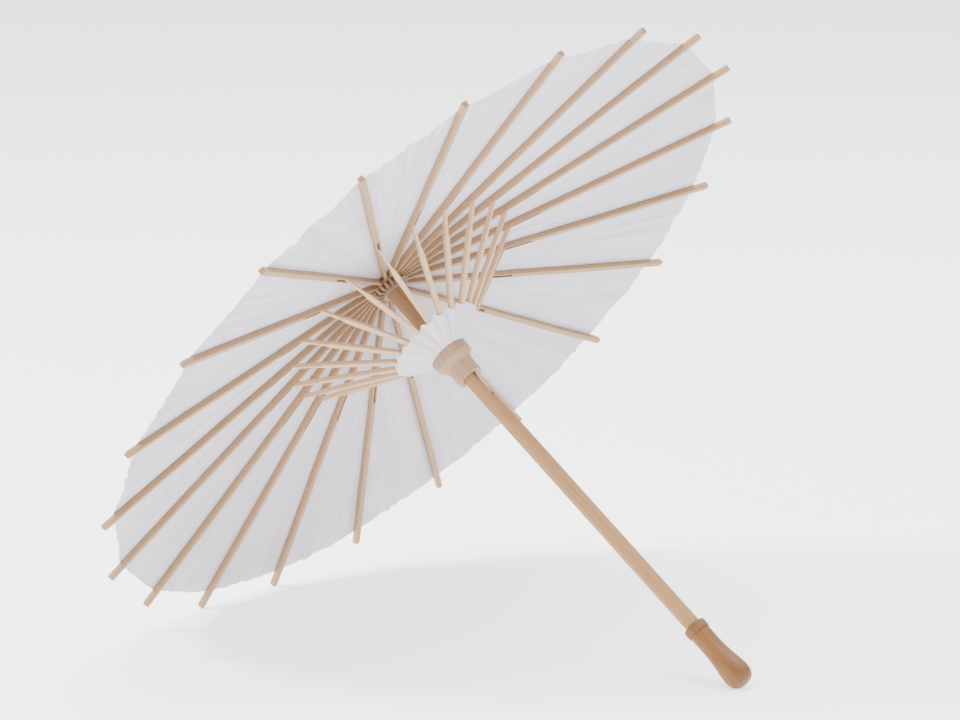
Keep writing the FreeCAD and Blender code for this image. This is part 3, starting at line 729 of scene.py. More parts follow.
    # a slight bow that is nothing at the two pins
    along = add(tree, "ShaderNodeSeparateXYZ", {0: here}).outputs["X"]
    run = calc(tree, 'DIVIDE', along, given["Length"])
    seeded = calc(tree, 'MULTIPLY', given["Seed"], 7.31)
    hold = calc(tree, 'SINE', calc(tree, 'MULTIPLY', calc(tree, 'MAXIMUM', run, 0.0),
                                   math.pi * 0.8))
    sideways = add(tree, "ShaderNodeTexNoise", {
        "Vector": vector(tree, calc(tree, 'MULTIPLY', run, 2.2), seeded, 0.0), "Scale": 1.0,
        "Detail": 1.0}).outputs["Fac"]
    shift = product(tree, calc(tree, 'SUBTRACT', sideways, 0.5),
                    calc(tree, 'MULTIPLY', given["Bow"], 4.0), hold)
    bent = add(tree, "GeometryNodeSetPosition", {"Geometry": marked,
                                                 "Offset": vector(tree, 0.0, shift, 0.0)})
    bar = add(tree, "GeometryNodeSetMaterial", {"Geometry": bent.outputs[0],
                                                "Material": given["Bamboo"]})

    # the peg through the joint
    peg = add(tree, "GeometryNodeMeshCylinder", {
        "Vertices": 14, "Side Segments": 6, "Fill Segments": 2, "Radius": given["Peg Radius"],
        "Depth": given["Peg Length"]})
    peg_place = add(tree, "ShaderNodeSeparateXYZ",
                    {0: tree.nodes.new("GeometryNodeInputPosition").outputs[0]}).outputs
    half = calc(tree, 'MULTIPLY', given["Peg Length"], 0.5)
    end_share = calc(tree, 'POWER', calc(
        tree, 'DIVIDE', calc(tree, 'ABSOLUTE', peg_place["Z"]), half), 8.0)
    thin = calc(tree, 'SUBTRACT', 1.0, calc(tree, 'MULTIPLY', end_share, 0.3))
    peg = add(tree, "GeometryNodeSetPosition", {"Geometry": peg.outputs["Mesh"], "Position": vector(
        tree, calc(tree, 'MULTIPLY', peg_place["X"], thin),
        calc(tree, 'MULTIPLY', peg_place["Y"], thin), peg_place["Z"])})
    peg = add(tree, "GeometryNodeTransform", {
        "Geometry": peg.outputs[0], "Translation": vector(tree, given["Peg At"], 0.0, 0.0),
        "Rotation": (math.pi / 2.0, 0.0, 0.0)})
    peg = add(tree, "GeometryNodeSetMaterial", {"Geometry": mark_grain(tree, peg.outputs[0]),
                                                "Material": given["Peg"]})
    both = tree.nodes.new("GeometryNodeJoinGeometry")
    tree.links.new(peg.outputs[0], both.inputs[0])
    tree.links.new(bar.outputs[0], both.inputs[0])
    whole = add(tree, "GeometryNodeSwitch", {
        "Switch": calc(tree, 'GREATER_THAN', given["Peg Length"], 0.0),
        "False": bar.outputs[0], "True": both.outputs[0]}, input_type='GEOMETRY')

    # the cut face at the far end
    facing = add(tree, "ShaderNodeSeparateXYZ",
                 {0: tree.nodes.new("GeometryNodeInputNormal").outputs[0]}).outputs["X"]
    at_end = calc(tree, 'GREATER_THAN', along, calc(tree, 'SUBTRACT', given["Length"], CUT_FACE))
    is_end = calc(tree, 'MULTIPLY', at_end, calc(tree, 'GREATER_THAN', facing, 0.8))
    return end_tree(tree, whole.outputs[0], given["Cut End"], is_end)


def thread_tree():
    """Two strands twisted round the path that is given as a line of edges."""
    tree, given = shape_tree("Twisted thread", {
        "Geometry": ("Geometry", None), "Strand Radius": ("Float", 0.0002),
        "Twists": ("Float", 30.0), "Points": ("Int", 400), "Material": ("Material", None)})
    path = add(tree, "GeometryNodeMeshToCurve", {"Mesh": given["Geometry"]})
    path = add(tree, "GeometryNodeResampleCurve", {
        "Curve": path.outputs[0], "Count": given["Points"]})
    tangent = tree.nodes.new("GeometryNodeInputTangent").outputs[0]
    upward = add(tree, "ShaderNodeVectorMath", {0: tangent, 1: (0.0, 0.0, 1.0)},
                 operation='CROSS_PRODUCT').outputs[0]
    share = tree.nodes.new("GeometryNodeSplineParameter").outputs["Factor"]
    strands = tree.nodes.new("GeometryNodeJoinGeometry")
    for phase in (0.0, math.pi):
        angle = calc(tree, 'ADD', calc(tree, 'MULTIPLY', share, calc(
            tree, 'MULTIPLY', given["Twists"], 2.0 * math.pi)), phase)
        sideways = add(tree, "ShaderNodeVectorMath", {
            0: upward, "Scale": calc(tree, 'MULTIPLY', calc(tree, 'COSINE', angle),
                                     given["Strand Radius"])}, operation='SCALE').outputs[0]
        lifted = vector(tree, 0.0, 0.0, calc(tree, 'MULTIPLY', calc(tree, 'SINE', angle),
                                             given["Strand Radius"]))
        offset = add(tree, "ShaderNodeVectorMath", {0: sideways, 1: lifted}, operation='ADD')
        strand = add(tree, "GeometryNodeSetPosition", {"Geometry": path.outputs[0],
                                                       "Offset": offset.outputs[0]})
        round_section = add(tree, "GeometryNodeCurvePrimitiveCircle",
                            {"Resolution": 7, "Radius": given["Strand Radius"]})
        tube = add(tree, "GeometryNodeCurveToMesh", {
            "Curve": strand.outputs[0], "Profile Curve": round_section.outputs[0],
            "Fill Caps": True})
        tree.links.new(tube.outputs[0], strands.inputs[0])
    return end_tree(tree, mark_grain(tree, strands.outputs[0]), given["Material"])


def sheet_mesh(name, columns, rows, surface, under, flat_of, material):
    """A thin closed sheet: surface(column, row) is its upper side and under is its lower side.

    flat_of gives the paper's own coordinates, kept as the "fold" attribute.
    """
    points, coords = [], []
    for side in (surface, under):
        for i in range(columns + 1):
            for j in range(rows + 1):
                points.append(side(i / columns, j / rows))
                coords.append(flat_of(i / columns, j / rows))
    faces = []
    layer = (columns + 1) * (rows + 1)

    def at(i, j, side=0):
        return side * layer + i * (rows + 1) + j

    for i in range(columns):
        for j in range(rows):
            faces.append((at(i, j), at(i, j + 1), at(i + 1, j + 1), at(i + 1, j)))
            faces.append((at(i, j, 1), at(i + 1, j, 1), at(i + 1, j + 1, 1), at(i, j + 1, 1)))
    for i in range(columns):
        faces.append((at(i, 0), at(i + 1, 0), at(i + 1, 0, 1), at(i, 0, 1)))
        faces.append((at(i + 1, rows), at(i, rows), at(i, rows, 1), at(i + 1, rows, 1)))
    for j in range(rows):
        faces.append((at(0, j + 1), at(0, j), at(0, j, 1), at(0, j + 1, 1)))
        faces.append((at(columns, j), at(columns, j + 1), at(columns, j + 1, 1),
                      at(columns, j, 1)))
    mesh = faces_mesh(name, points, faces, material)
    face_outwards(mesh)
    fold = mesh.attributes.new("fold", 'FLOAT_VECTOR', 'POINT')
    for value, coord in zip(fold.data, coords):
        value.vector = coord
    return mesh


def ring_path(radius, height, steps=180):
    turns = [2 * math.pi * k / steps for k in range(steps)]
    points = [(radius * math.cos(turn), radius * math.sin(turn), height) for turn in turns]
    mesh = bpy.data.meshes.new("ring path")
    mesh.from_pydata(points, [(k, (k + 1) % steps) for k in range(steps)], [])
    return mesh


# ---------------------------------------------------------------- the canopy's surface

class Canopy:
    """Where the paper lies: over the ribs, sagging a little from rib to rib."""

    def __init__(self, sizes):
        self.rib, self.paper = sizes.ribs, sizes.paper
        drop, run = self.rib.pin_level, self.rib.tip_radius - self.rib.pin_radius
        self.slope = math.atan2(drop, run)
        self.rise = (self.rib.above + self.paper.gap) / math.cos(self.slope)

    def rib_level(self, radius):
        return (self.rib.pin_level + self.rise
                - math.tan(self.slope) * (radius - self.rib.pin_radius))

    @staticmethod
    def gore_at(turn):
        """Number of the rib before the gore in one direction."""
        return math.floor(turn / (2.0 * HALF_GORE) + 0.5)

    def edge(self, turn):
        """Radius of the cut edge, measured at a rib, in one direction."""
        wave = noise.noise(Vector((math.cos(turn), math.sin(turn), 0.0)) * 7.0
                           + Vector((0.0, 0.0, self.paper.seed)))
        gore = self.gore_at(turn) % COUNT
        step = noise.noise(Vector((gore * 3.7, self.paper.seed * 1.3, 0.5)))
        return self.paper.radius + self.paper.ragged * (0.4 * wave + 0.75 * step - 0.3)

    def point(self, turn, radius):
        """The lower side of the paper at a turn round the shaft; radius is that at the ribs."""
        gore = self.gore_at(turn)
        off = turn - gore * 2.0 * HALF_GORE
        share = min(abs(off) / HALF_GORE, 1.0)
        across = 0.5 + 0.5 * off / HALF_GORE
        lean = (1.0 - across) * rib_lean(self.rib, gore) + across * rib_lean(self.rib, gore + 1)
        flat = radius * math.cos(HALF_GORE) / math.cos(off)
        reach = min(radius / self.paper.radius, 1.0)
        loose = 1.0 - share ** 2
        sag = self.paper.sag * loose * reach ** 1.3
        crease = self.paper.crease * max(0.0, 1.0 - share * 5.0) * reach
        spot = Vector((flat * math.cos(turn), flat * math.sin(turn), self.paper.seed * 0.01))
        small = noise.noise(spot * COARSE_BUMPS) + 0.5 * noise.noise(spot * FINE_BUMPS)
        pulled = noise.noise(Vector((off * PULLED_LINES + gore % COUNT * 9.1, radius * 9.0, 3.0)))
        bumps = self.paper.wrinkle * loose * reach * (small * 0.8 + pulled * 1.5)
        height = self.rib_level(radius) - sag + crease + bumps
        turn += lean * (1.0 - self.rib.pin_radius / radius)
        return (flat * math.cos(turn), flat * math.sin(turn), height)


# ---------------------------------------------------------------- operators

class Maker:
    """What every operator here shares."""
    bl_options = {'REGISTER', 'UNDO'}

    @staticmethod
    def setting(context):
        sizes = context.scene.umbrella
        return sizes, sizes.colours, lay_matrix(sizes.ribs.pin_level)


def material_once(name, make):
    return bpy.data.materials.get(name) or make(name)


def rib_wood(colours):
    return material_once("rib bamboo", lambda name: wood(
        name, lambda tree: own_coords(tree, "grain"), colours.rib, colours.rib_dark,
        along=16.0, across=1500.0, gloss=0.45, axis="X", pores=0.55))


def arm_wood(colours):
    return material_once("stretcher bamboo", lambda name: wood(
        name, lambda tree: own_coords(tree, "grain"), colours.stretcher, colours.stretcher_dark,
        along=12.0, across=1300.0, gloss=0.45, axis="X", pores=0.4))


def turned_wood(colours, lay):
    return material_once("turned wood", lambda name: wood(
        name, lambda tree: upright_coords(tree, lay), colours.turned, colours.turned_dark,
        along=40.0, across=520.0, gloss=0.42, pores=0.6))


class UMBRELLA_OT_stage(Maker, bpy.types.Operator):
    """Make the floor, the soft lights and the camera"""
    bl_idname = "umbrella.stage"
    bl_label = "Stage"

    def execute(self, context):
        scene = context.scene
        colours = scene.umbrella.colours
        material, tree, shader = new_material("floor")
        coords = tree.nodes.new("ShaderNodeTexCoord").outputs["Object"]
        mottle = speckle(tree, coords, (3.0, 3.0, 3.0), detail=3.0)
        tone = ramp(tree, mottle, 0.3, 0.7, 0.985, 1.0)
        tree.links.new(toned(tree, tuple(colours.floor), tone), shader.inputs["Base Color"])
        shader.inputs["Roughness"].default_value = 0.9
        shader.inputs["Emission Color"].default_value = (1.0, 1.0, 1.0, 1.0)
        shader.inputs["Emission Strength"].default_value = FLOOR_GLOW
        disc = turned("floor", [(0.0, 0.0), (FLOOR_RADIUS, 0.0), (FLOOR_RADIUS, -FLOOR_THICKNESS),
                                (0.0, -FLOOR_THICKNESS)], material)
        floor = bpy.data.objects.new("floor", disc)
        scene.collection.objects.link(floor)

        world = bpy.data.worlds.new("soft room")
        world.use_nodes = True
        background = world.node_tree.nodes["Background"]
        background.inputs["Color"].default_value = ROOM_COLOUR
        background.inputs["Strength"].default_value = ROOM_LIGHT
        scene.world = world

        for name, spot, power, size in LAMPS:
            lamp = bpy.data.lights.new(name, 'AREA')
            lamp.energy, lamp.size, lamp.shape = power, size, 'DISK'
            obj = bpy.data.objects.new(name, lamp)
            obj.location = spot
            obj.rotation_euler = (LAMPS_AIM - Vector(spot)).to_track_quat('-Z', 'Y').to_euler()
            scene.collection.objects.link(obj)

        lens = bpy.data.cameras.new("camera")
        lens.lens, lens.sensor_width = LENS_MM, SENSOR_MM
        lens.clip_start, lens.clip_end = 0.05, 100.0
        camera = bpy.data.objects.new("camera", lens)
        above = CAMERA_RIGHT.cross(CAMERA_AHEAD)
        turn = Matrix((CAMERA_RIGHT, above, -CAMERA_AHEAD)).transposed().to_4x4()
        camera.matrix_world = Matrix.Translation(CAMERA_AT) @ turn
        scene.collection.objects.link(camera)
        scene.camera = camera
        return {'FINISHED'}


class UMBRELLA_OT_shaft(Maker, bpy.types.Operator):
    """Make the shaft with its thinner top and the slot for the catch"""
    bl_idname = "umbrella.shaft"
    bl_label = "Shaft"

    def execute(self, context):
        sizes, colours, lay = self.setting(context)
        stick = sizes.stick
        material = material_once("shaft wood", lambda name: wood(
            name, lambda tree: upright_coords(tree, lay), colours.shaft, colours.shaft_dark,
            along=10.0, across=800.0, gloss=0.42, pores=0.7))
        foot = stick.ring_top - 0.0105
        levels = [foot + (stick.stub_level - foot) * k / 60.0 for k in range(61)]
        profile = [(0.0, foot), (stick.radius - 0.0003, foot), (stick.radius, foot + 0.0003)]
        profile += [(stick.radius, z) for z in levels[1:]]
        profile += rounded([(stick.stub_radius, stick.stub_level), (stick.stub_radius, stick.top),
                            (0.0, stick.top)], 0.0009)
        mesh = turned("shaft", profile, material, around=72)
        cut = tree_once("Ring of slots", slotted_ring_tree)
        mesh = grow(cut, {
            "Count": 1, "Slot Width": stick.slot_width,
            "Floor Radius": stick.radius - stick.slot_depth, "Slot Length": 0.004,
            "Slot Foot": stick.slot_foot, "Slot Height": stick.slot_top - stick.slot_foot,
            "Turn": stick.catch_turn, "Material": material}, mesh)
        place("shaft_wood", mesh, lay, "stick", ("shaft",), SHARP_CUT)
        return {'FINISHED'}


class UMBRELLA_OT_handle(Maker, bpy.types.Operator):
    """Make the turned handle with its ring, waist, swell and bulb"""
    bl_idname = "umbrella.handle"
    bl_label = "Handle"

    def execute(self, context):
        sizes, colours, lay = self.setting(context)
        stick = sizes.stick
        material = material_once("handle wood", lambda name: wood(
            name, lambda tree: upright_coords(tree, lay), colours.handle, colours.handle_dark,
            along=34.0, across=620.0, gloss=0.4, pores=0.6, depth=0.00006))
        top, mouth = stick.ring_top, stick.radius + 0.0001
        ring = rounded([(mouth, top - 0.001), (mouth, top)] + outline(HANDLE_RING, top), 0.0009, 6)
        profile = [(0.0, top - 0.001)] + ring + swept(outline(HANDLE_GRIP, top), 8)
        profile = [(max(r, 0.0), z) for r, z in profile]
        mesh = turned("handle", profile, material)
        place("handle_wood", mesh, lay, "stick", ("handle",), SHARP_TURNED)
        return {'FINISHED'}


class UMBRELLA_OT_notch(Maker, bpy.types.Operator):
    """Make the slotted top notch and the ring over the crown"""
    bl_idname = "umbrella.notch"
    bl_label = "Top notch and ring"

    def execute(self, context):
        sizes, colours, lay = self.setting(context)
        stick, pin = sizes.stick, sizes.ribs.pin_level
        material = turned_wood(colours, lay)
        profile = rounded(bored(NOTCH_OUTLINE, pin, stick.radius + 0.00002), 0.0005, closed=True)
        mesh = turned("notch", profile, material, closed=True)
        cut = tree_once("Ring of slots", slotted_ring_tree)
        mesh = grow(cut, {"Count": COUNT, "Slot Width": SLOT_WIDTH, "Floor Radius": 0.0061,
                          "Slot Length": 0.0060, "Slot Foot": pin - 0.0070, "Slot Height": 0.0100,
                          "Turn": HALF_GORE, "Material": material}, mesh)
        place("notch_wood", mesh, lay, "stick", ("top_notch",), SHARP_CUT)

        foot = stick.stub_level - CROWN_RING_HEIGHT
        profile = rounded(bored(CROWN_RING_OUTLINE, foot, stick.radius + 0.00005), 0.0007,
                          closed=True)
        mesh = turned("crown ring", profile, material, closed=True)
        place("crown_ring", mesh, lay, "stick", ("top_ring",), SHARP_TURNED)
        return {'FINISHED'}


class UMBRELLA_OT_runner(Maker, bpy.types.Operator):
    """Make the sliding runner with a slot for each stretcher"""
    bl_idname = "umbrella.runner"
    bl_label = "Runner"

    def execute(self, context):
        sizes, colours, lay = self.setting(context)
        pin = sizes.stretchers.pin_level
        material = turned_wood(colours, lay)
        profile = rounded(bored(RUNNER_OUTLINE, pin, sizes.stick.radius + 0.0003), 0.0006,
                          closed=True)
        mesh = turned("runner", profile, material, closed=True)
        cut = tree_once("Ring of slots", slotted_ring_tree)
        for reach, foot in ((0.0030, pin - 0.0013), (0.0060, pin)):
            mesh = grow(cut, {"Count": COUNT, "Slot Width": SLOT_WIDTH, "Floor Radius": 0.0059,
                              "Slot Length": reach, "Slot Foot": foot, "Slot Height": 0.0060,
                              "Turn": HALF_GORE, "Material": material}, mesh)
        place("runner_wood", mesh, lay, "runner", ("runner",), SHARP_CUT)
        return {'FINISHED'}


class UMBRELLA_OT_ribs(Maker, bpy.types.Operator):
    """Make the split bamboo ribs, one on each hinge of the notch"""
    bl_idname = "umbrella.ribs"
    bl_label = "Ribs"

    def execute(self, context):
        sizes, colours, lay = self.setting(context)
        rib = sizes.ribs
        tree = tree_once("Split bamboo", bamboo_tree)
        run = rib.tip_radius - rib.pin_radius
        slope = math.atan2(rib.pin_level, run)
        whole = math.hypot(run, rib.pin_level)
        joint = math.hypot(rib.joint_radius - rib.pin_radius, rib.pin_level - rib.joint_level)
        cut_end = material_once("bamboo end", lambda name: end_grain(
            name, lambda t: own_coords(t, "grain"), colours.rib, colours.rib_dark))
        for n in range(1, COUNT + 1):
            mesh = grow(tree, {
                "Start": 0.0010, "Length": whole, "Eye Length": rib.eye_length,
                "Eye Width": rib.eye_width, "Neck Width": rib.neck_width, "Full At": joint,
                "Full Width": rib.joint_width, "Shoulder At": joint,
                "Shoulder Length": whole - joint, "End Width": rib.tip_width,
                "Below": rib.below, "Above": rib.above, "Point Length": 0.0010,
                "Point Depth": 0.94, "Swelling At": 0.095 + 0.07 * ((n * 0.618) % 1.0),
                "Swelling": 0.22 if n % 7 == 0 else 0.03, "Bow": rib.bow,
                "Gap Width": rib.gap_width, "Gap Start": joint - rib.gap_inward,
                "Gap End": joint + rib.gap_outward,
                "Peg At": joint, "Peg Length": rib.joint_width + 0.0004, "Peg Radius": 0.00045,
                "Seed": 20 + n, "Bamboo": rib_wood(colours), "Cut End": cut_end, "Peg": cut_end})
            put = (lay @ Matrix.Rotation(rib_turn(n), 4, 'Z')
                   @ Matrix.Translation((rib.pin_radius, 0.0, rib.pin_level))
                   @ Matrix.Rotation(rib_lean(rib, n), 4, 'Z') @ Matrix.Rotation(slope, 4, 'Y'))
            place(f"rib_bamboo_{n:02d}", mesh, put, f"rib_{n:02d}",
                  (f"rib_{n:02d}",), SHARP_BAR)
        return {'FINISHED'}


class UMBRELLA_OT_stretchers(Maker, bpy.types.Operator):
    """Make the paler stretchers from the runner to the ribs"""
    bl_idname = "umbrella.stretchers"
    bl_label = "Stretchers"

    def execute(self, context):
        sizes, colours, lay = self.setting(context)
        arm, rib = sizes.stretchers, sizes.ribs
        tree = tree_once("Split bamboo", bamboo_tree)
        run, rise = rib.joint_radius - arm.pin_radius, rib.joint_level - arm.pin_level
        whole = math.hypot(run, rise)
        cut_end = material_once("stretcher end", lambda name: end_grain(
            name, lambda t: own_coords(t, "grain"), colours.stretcher, colours.stretcher_dark))
        for n in range(1, COUNT + 1):
            mesh = grow(tree, {
                "Start": 0.0011, "Length": whole + arm.overhang, "Eye Length": arm.eye_length,
                "Eye Width": arm.eye_width, "Neck Width": 0.0017, "Full At": arm.full_at,
                "Full Width": arm.width, "Shoulder At": whole - arm.tongue_length - arm.shoulder,
                "Shoulder Length": arm.shoulder, "End Width": arm.tongue_width,
                "Below": arm.half_depth, "Above": arm.half_depth, "Point Length": 0.0024,
                "Point Depth": 0.35, "Swelling At": 0.028 + 0.02 * ((n * 0.618) % 1.0),
                "Swelling": 0.015, "Bow": arm.bow, "Seed": 60 + n,
                "Bamboo": arm_wood(colours), "Cut End": cut_end, "Peg": cut_end})
            put = (lay @ Matrix.Rotation(rib_turn(n), 4, 'Z')
                   @ Matrix.Translation((arm.pin_radius, 0.0, arm.pin_level))
                   @ Matrix.Rotation(rib_lean(rib, n), 4, 'Z')
                   @ Matrix.Rotation(-math.atan2(rise, run), 4, 'Y'))
            place(f"stretcher_bamboo_{n:02d}", mesh, put, f"stretcher_{n:02d}",
                  (f"stretcher_{n:02d}",), SHARP_BAR)
        return {'FINISHED'}


class UMBRELLA_OT_threads(Maker, bpy.types.Operator):
    """Make the twisted threads that the ribs and the stretchers turn on"""
    bl_idname = "umbrella.threads"
    bl_label = "Threads"

    def execute(self, context):
        sizes, colours, lay = self.setting(context)
        tree = tree_once("Twisted thread", thread_tree)
        material = material_once("thread", lambda name: spun(name, tuple(colours.thread)))
        for name, around, body, node in (
                ("notch_cord", sizes.ribs, "stick", "notch_thread"),
                ("runner_cord", sizes.stretchers, "runner", "runner_thread")):
            path = ring_path(around.pin_radius, around.pin_level)
            mesh = grow(tree, {"Strand Radius": 0.00018, "Twists": 44.0, "Points": 620,
                               "Material": material}, path)
            place(name, mesh, lay, body, (node,), SHARP_SOFT)
        return {'FINISHED'}


class UMBRELLA_OT_catch(Maker, bpy.types.Operator):
    """Make the bamboo catch leaf, and finish its pin"""
    bl_idname = "umbrella.catch"
    bl_label = "Catch"

    def execute(self, context):
        sizes, colours, lay = self.setting(context)
        stick = sizes.stick
        tree = tree_once("Split bamboo", bamboo_tree)
        run = stick.catch_top - stick.catch_pin_level
        out = stick.catch_reach - stick.catch_depth * 0.5 - stick.catch_pin_radius
        lean = math.atan2(out, run)
        cut_end = bpy.data.materials["stretcher end"]
        mesh = grow(tree, {
            "Start": 0.0007, "Length": math.hypot(out, run), "Eye Length": 0.001,
            "Eye Width": stick.catch_width, "Neck Width": stick.catch_width, "Full At": 0.004,
            "Full Width": stick.catch_width, "Shoulder At": 0.008, "Shoulder Length": 0.002,
            "End Width": stick.catch_width, "Below": stick.catch_depth * 0.5,
            "Above": stick.catch_depth * 0.5, "Point Length": 0.0008, "Point Depth": 0.8,
            "Swelling At": 0.02, "Seed": 90, "Bamboo": arm_wood(colours), "Cut End": cut_end,
            "Peg": cut_end})
        put = (lay @ Matrix.Rotation(stick.catch_turn, 4, 'Z')
               @ Matrix.Translation((stick.catch_pin_radius, 0.0, stick.catch_pin_level))
               @ Matrix.Rotation(lean - math.pi / 2.0, 4, 'Y'))
        place("catch_leaf", mesh, put, "catch", ("catch",),
              SHARP_BAR)
        material = material_once("pin bamboo", lambda name: wood(
            name, lambda t: upright_coords(t, lay), colours.stretcher, colours.stretcher_dark,
            along=60.0, across=900.0))
        for spot in frame["nodes"]["catch_pin"].material_slots:
            spot.material = material
        return {'FINISHED'}


class UMBRELLA_OT_canopy(Maker, bpy.types.Operator):
    """Make the paper canopy: a strip glued on each rib and the two half gores beside it"""
    bl_idname = "umbrella.canopy"
    bl_label = "Paper canopy"

    def execute(self, context):
        sizes, colours, lay = self.setting(context)
        sheet = Canopy(sizes)
        size = sizes.paper
        material = material_once("oiled paper", lambda name: paper(
            name, tuple(colours.paper), (0.60, 0.58, 0.60), 0.30))
        run = size.radius - size.start
        rib = sizes.ribs

        def half_strip(radius):
            """Half the angle that the rib's top takes up."""
            inner = min(1.0, radius / rib.joint_radius)
            outer = max(0.0, (radius - rib.joint_radius) / (rib.tip_radius - rib.joint_radius))
            width = (rib.neck_width + (rib.joint_width - rib.neck_width) * inner
                     + (rib.tip_width - rib.joint_width) * outer)
            return min(0.46 * width / radius, HALF_GORE * 0.85)

        def lying(turn, v):
            radius = size.start + (sheet.edge(turn) - size.start) * v
            return sheet.point(turn, radius), radius

        for n in range(1, COUNT + 1):
            middle = rib_turn(n)

            def make(name, first, last, columns, rows):
                """A part of the canopy from one turn to another; each may change with radius."""
                def turn_at(u, v):
                    radius = size.start + run * v
                    return middle + first(radius) + (last(radius) - first(radius)) * u

                def lower(u, v):
                    return lying(turn_at(u, v), v)[0]

                def upper(u, v):
                    x, y, z = lying(turn_at(u, v), v)[0]
                    return (x, y, z + size.thickness)

                def own(u, v):
                    turn = turn_at(u, v)
                    radius = lying(turn, v)[1]
                    return (turn * STREAK_RADIUS, radius, n * 0.7)
                return sheet_mesh(name, columns, rows, upper, lower, own, material)

            strip = place(f"canopy_strip_{n:02d}", make(
                "strip", lambda r: -half_strip(r), half_strip, *STRIP_GRID), lay, f"rib_{n:02d}",
                (), SHARP_SOFT)
            for side, letter in ((-1.0, "a"), (1.0, "b")):
                mesh = make("half gore", lambda r: side * half_strip(r),
                            lambda r: side * HALF_GORE, *GORE_GRID)
                stands_for = ("canopy",) if n == 1 and side < 0 else ()
                half = place(f"canopy_gore_{n:02d}_{letter}", mesh, lay, f"rib_{n:02d}",
                             stands_for, SHARP_SOFT)
                true = middle + rib_lean(rib, n)
                outward = Vector((math.cos(true), math.sin(true), 0.0))
                inward = -outward * math.sin(sheet.slope)
                inward -= Vector((0.0, 0.0, math.cos(sheet.slope)))
                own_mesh(half)
        return {'FINISHED'}


class UMBRELLA_OT_sleeve(Maker, bpy.types.Operator):
    """Make the white paper sleeve glued on the stretchers' inner ends"""
    bl_idname = "umbrella.sleeve"
    bl_label = "Sleeve"

    def execute(self, context):
        sizes, colours, lay = self.setting(context)
        arm, rib, size = sizes.stretchers, sizes.ribs, sizes.paper
        material = material_once("sleeve paper", lambda name: paper(
            name, tuple(colours.sleeve), (0.70, 0.69, 0.68), 0.22, strength=0.25, rough=0.55))
        rise = math.atan2(rib.joint_level - arm.pin_level, rib.joint_radius - arm.pin_radius)
        spread = PANEL_STRETCHERS * HALF_GORE
        for n in range(COUNT // PANEL_STRETCHERS):
            number = n * PANEL_STRETCHERS + 2
            middle = rib_turn(number)

            def under(u, v, deeper=0.0):
                turn = middle - spread + 2.0 * spread * u
                radius = size.sleeve_start + (size.sleeve_end - size.sleeve_start) * v
                nearest = (math.floor(turn / (2.0 * HALF_GORE)) + 0.5) * 2.0 * HALF_GORE
                off = abs(turn - nearest) * radius
                open_half = HALF_GORE * radius
                flat = min(0.5 * arm.width, open_half * 0.75)
                loose = min(1.0, max(0.0, off - flat) / (open_half - flat))
                sag = SLEEVE_SAG * loose ** 0.9 * min(1.0, (open_half - flat) / 0.0024)
                spot = Vector((math.cos(turn) * radius, math.sin(turn) * radius, 0.3))
                ripple = 0.00012 * noise.noise(spot * 420.0)
                cut = Vector((math.cos(turn) * 5.0, math.sin(turn) * 5.0, 9.0))
                reach = radius + 0.0003 * noise.noise(cut) * v
                clear = (arm.half_depth + 0.0002 + deeper) / math.cos(rise)
                height = arm.pin_level + math.tan(rise) * (reach - arm.pin_radius) - clear
                height += sag + ripple
                return (reach * math.cos(turn), reach * math.sin(turn), height)

            mesh = sheet_mesh("sleeve", *SLEEVE_GRID, under,
                              lambda u, v: under(u, v, size.sleeve_thickness),
                              lambda u, v: (u * 0.02, v * 0.02, n * 0.3), material)
            panel = place(f"sleeve_paper_{n + 1}", mesh, lay, f"stretcher_{number:02d}",
                          ("runner_paper",) if n == 0 else (), SHARP_SOFT)
            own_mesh(panel)
        return {'FINISHED'}


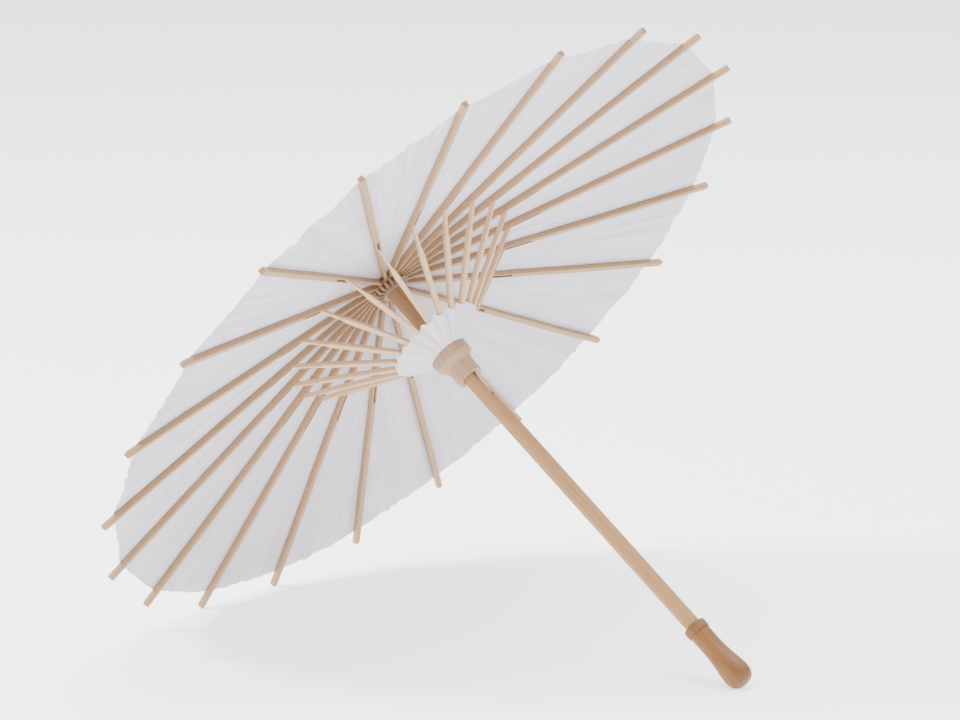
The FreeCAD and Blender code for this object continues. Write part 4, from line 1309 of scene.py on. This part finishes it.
class UMBRELLA_OT_cap(Maker, bpy.types.Operator):
    """Make the pleated paper cap over the crown"""
    bl_idname = "umbrella.cap"
    bl_label = "Crown cap"

    def execute(self, context):
        sizes, colours, lay = self.setting(context)
        size = sizes.paper
        sheet = Canopy(sizes)
        material = material_once("cap paper", lambda name: paper(
            name, tuple(colours.cap), (0.50, 0.48, 0.50), 0.12))
        base = sheet.rib_level(size.cap_radius) + size.thickness + 0.0004
        inner = sizes.stick.radius + 0.0003

        def lower(u, v, lift=0.0):
            turn = 2.0 * math.pi * u
            radius = inner + (size.cap_radius - 0.0002 - inner) * v
            wave = noise.noise(Vector((math.cos(turn) * 3.0, math.sin(turn) * 3.0, 2.0)))
            pleat = math.cos(turn * COUNT) * 0.00022 * v
            radius += 0.00035 * wave * v
            height = base + 0.0006 * (1.0 - v) + pleat + lift
            return (radius * math.cos(turn), radius * math.sin(turn), height)

        mesh = sheet_mesh("cap", *CAP_GRID, lambda u, v: lower(u, v, size.cap_thickness),
                          lower, lambda u, v: (u * 0.08, v * 0.01, 0.0), material)
        face_outwards(mesh, merge=1e-6)
        cap = place("crown_paper", mesh, lay, "stick", ("crown_cap",),
                    SHARP_SOFT)
        return {'FINISHED'}


MAKERS = (
    UMBRELLA_OT_stage, UMBRELLA_OT_shaft, UMBRELLA_OT_handle, UMBRELLA_OT_notch,
    UMBRELLA_OT_runner, UMBRELLA_OT_ribs, UMBRELLA_OT_stretchers, UMBRELLA_OT_threads,
    UMBRELLA_OT_catch, UMBRELLA_OT_canopy, UMBRELLA_OT_sleeve, UMBRELLA_OT_cap,
)


class UMBRELLA_PT_panel(bpy.types.Panel):
    """Lists the pieces of the umbrella"""
    bl_idname = "UMBRELLA_PT_panel"
    bl_label = "Oil paper umbrella"
    bl_space_type = 'VIEW_3D'
    bl_region_type = 'UI'
    bl_category = "Umbrella"

    def draw(self, context):
        column = self.layout.column(align=True)
        for maker in MAKERS:
            column.operator(maker.bl_idname)
        for group in ("ribs", "stretchers", "stick", "paper", "colours"):
            holder = getattr(context.scene.umbrella, group)
            box = self.layout.box()
            box.label(text=group.capitalize())
            for prop in holder.__annotations__:
                box.prop(holder, prop)


CLASSES = (UMBRELLA_PG_ribs, UMBRELLA_PG_stretchers, UMBRELLA_PG_stick, UMBRELLA_PG_paper,
           UMBRELLA_PG_colours, UMBRELLA_PG_all) + MAKERS + (UMBRELLA_PT_panel,)


def register():
    for cls in CLASSES:
        bpy.utils.register_class(cls)
    bpy.types.Scene.umbrella = PointerProperty(type=UMBRELLA_PG_all)


def unregister():
    del bpy.types.Scene.umbrella
    for cls in reversed(CLASSES):
        bpy.utils.unregister_class(cls)


def main():
    register()
    for maker in MAKERS:
        group, name = maker.bl_idname.split(".")
        getattr(getattr(bpy.ops, group), name)()


if __name__ == "__main__":
    main()
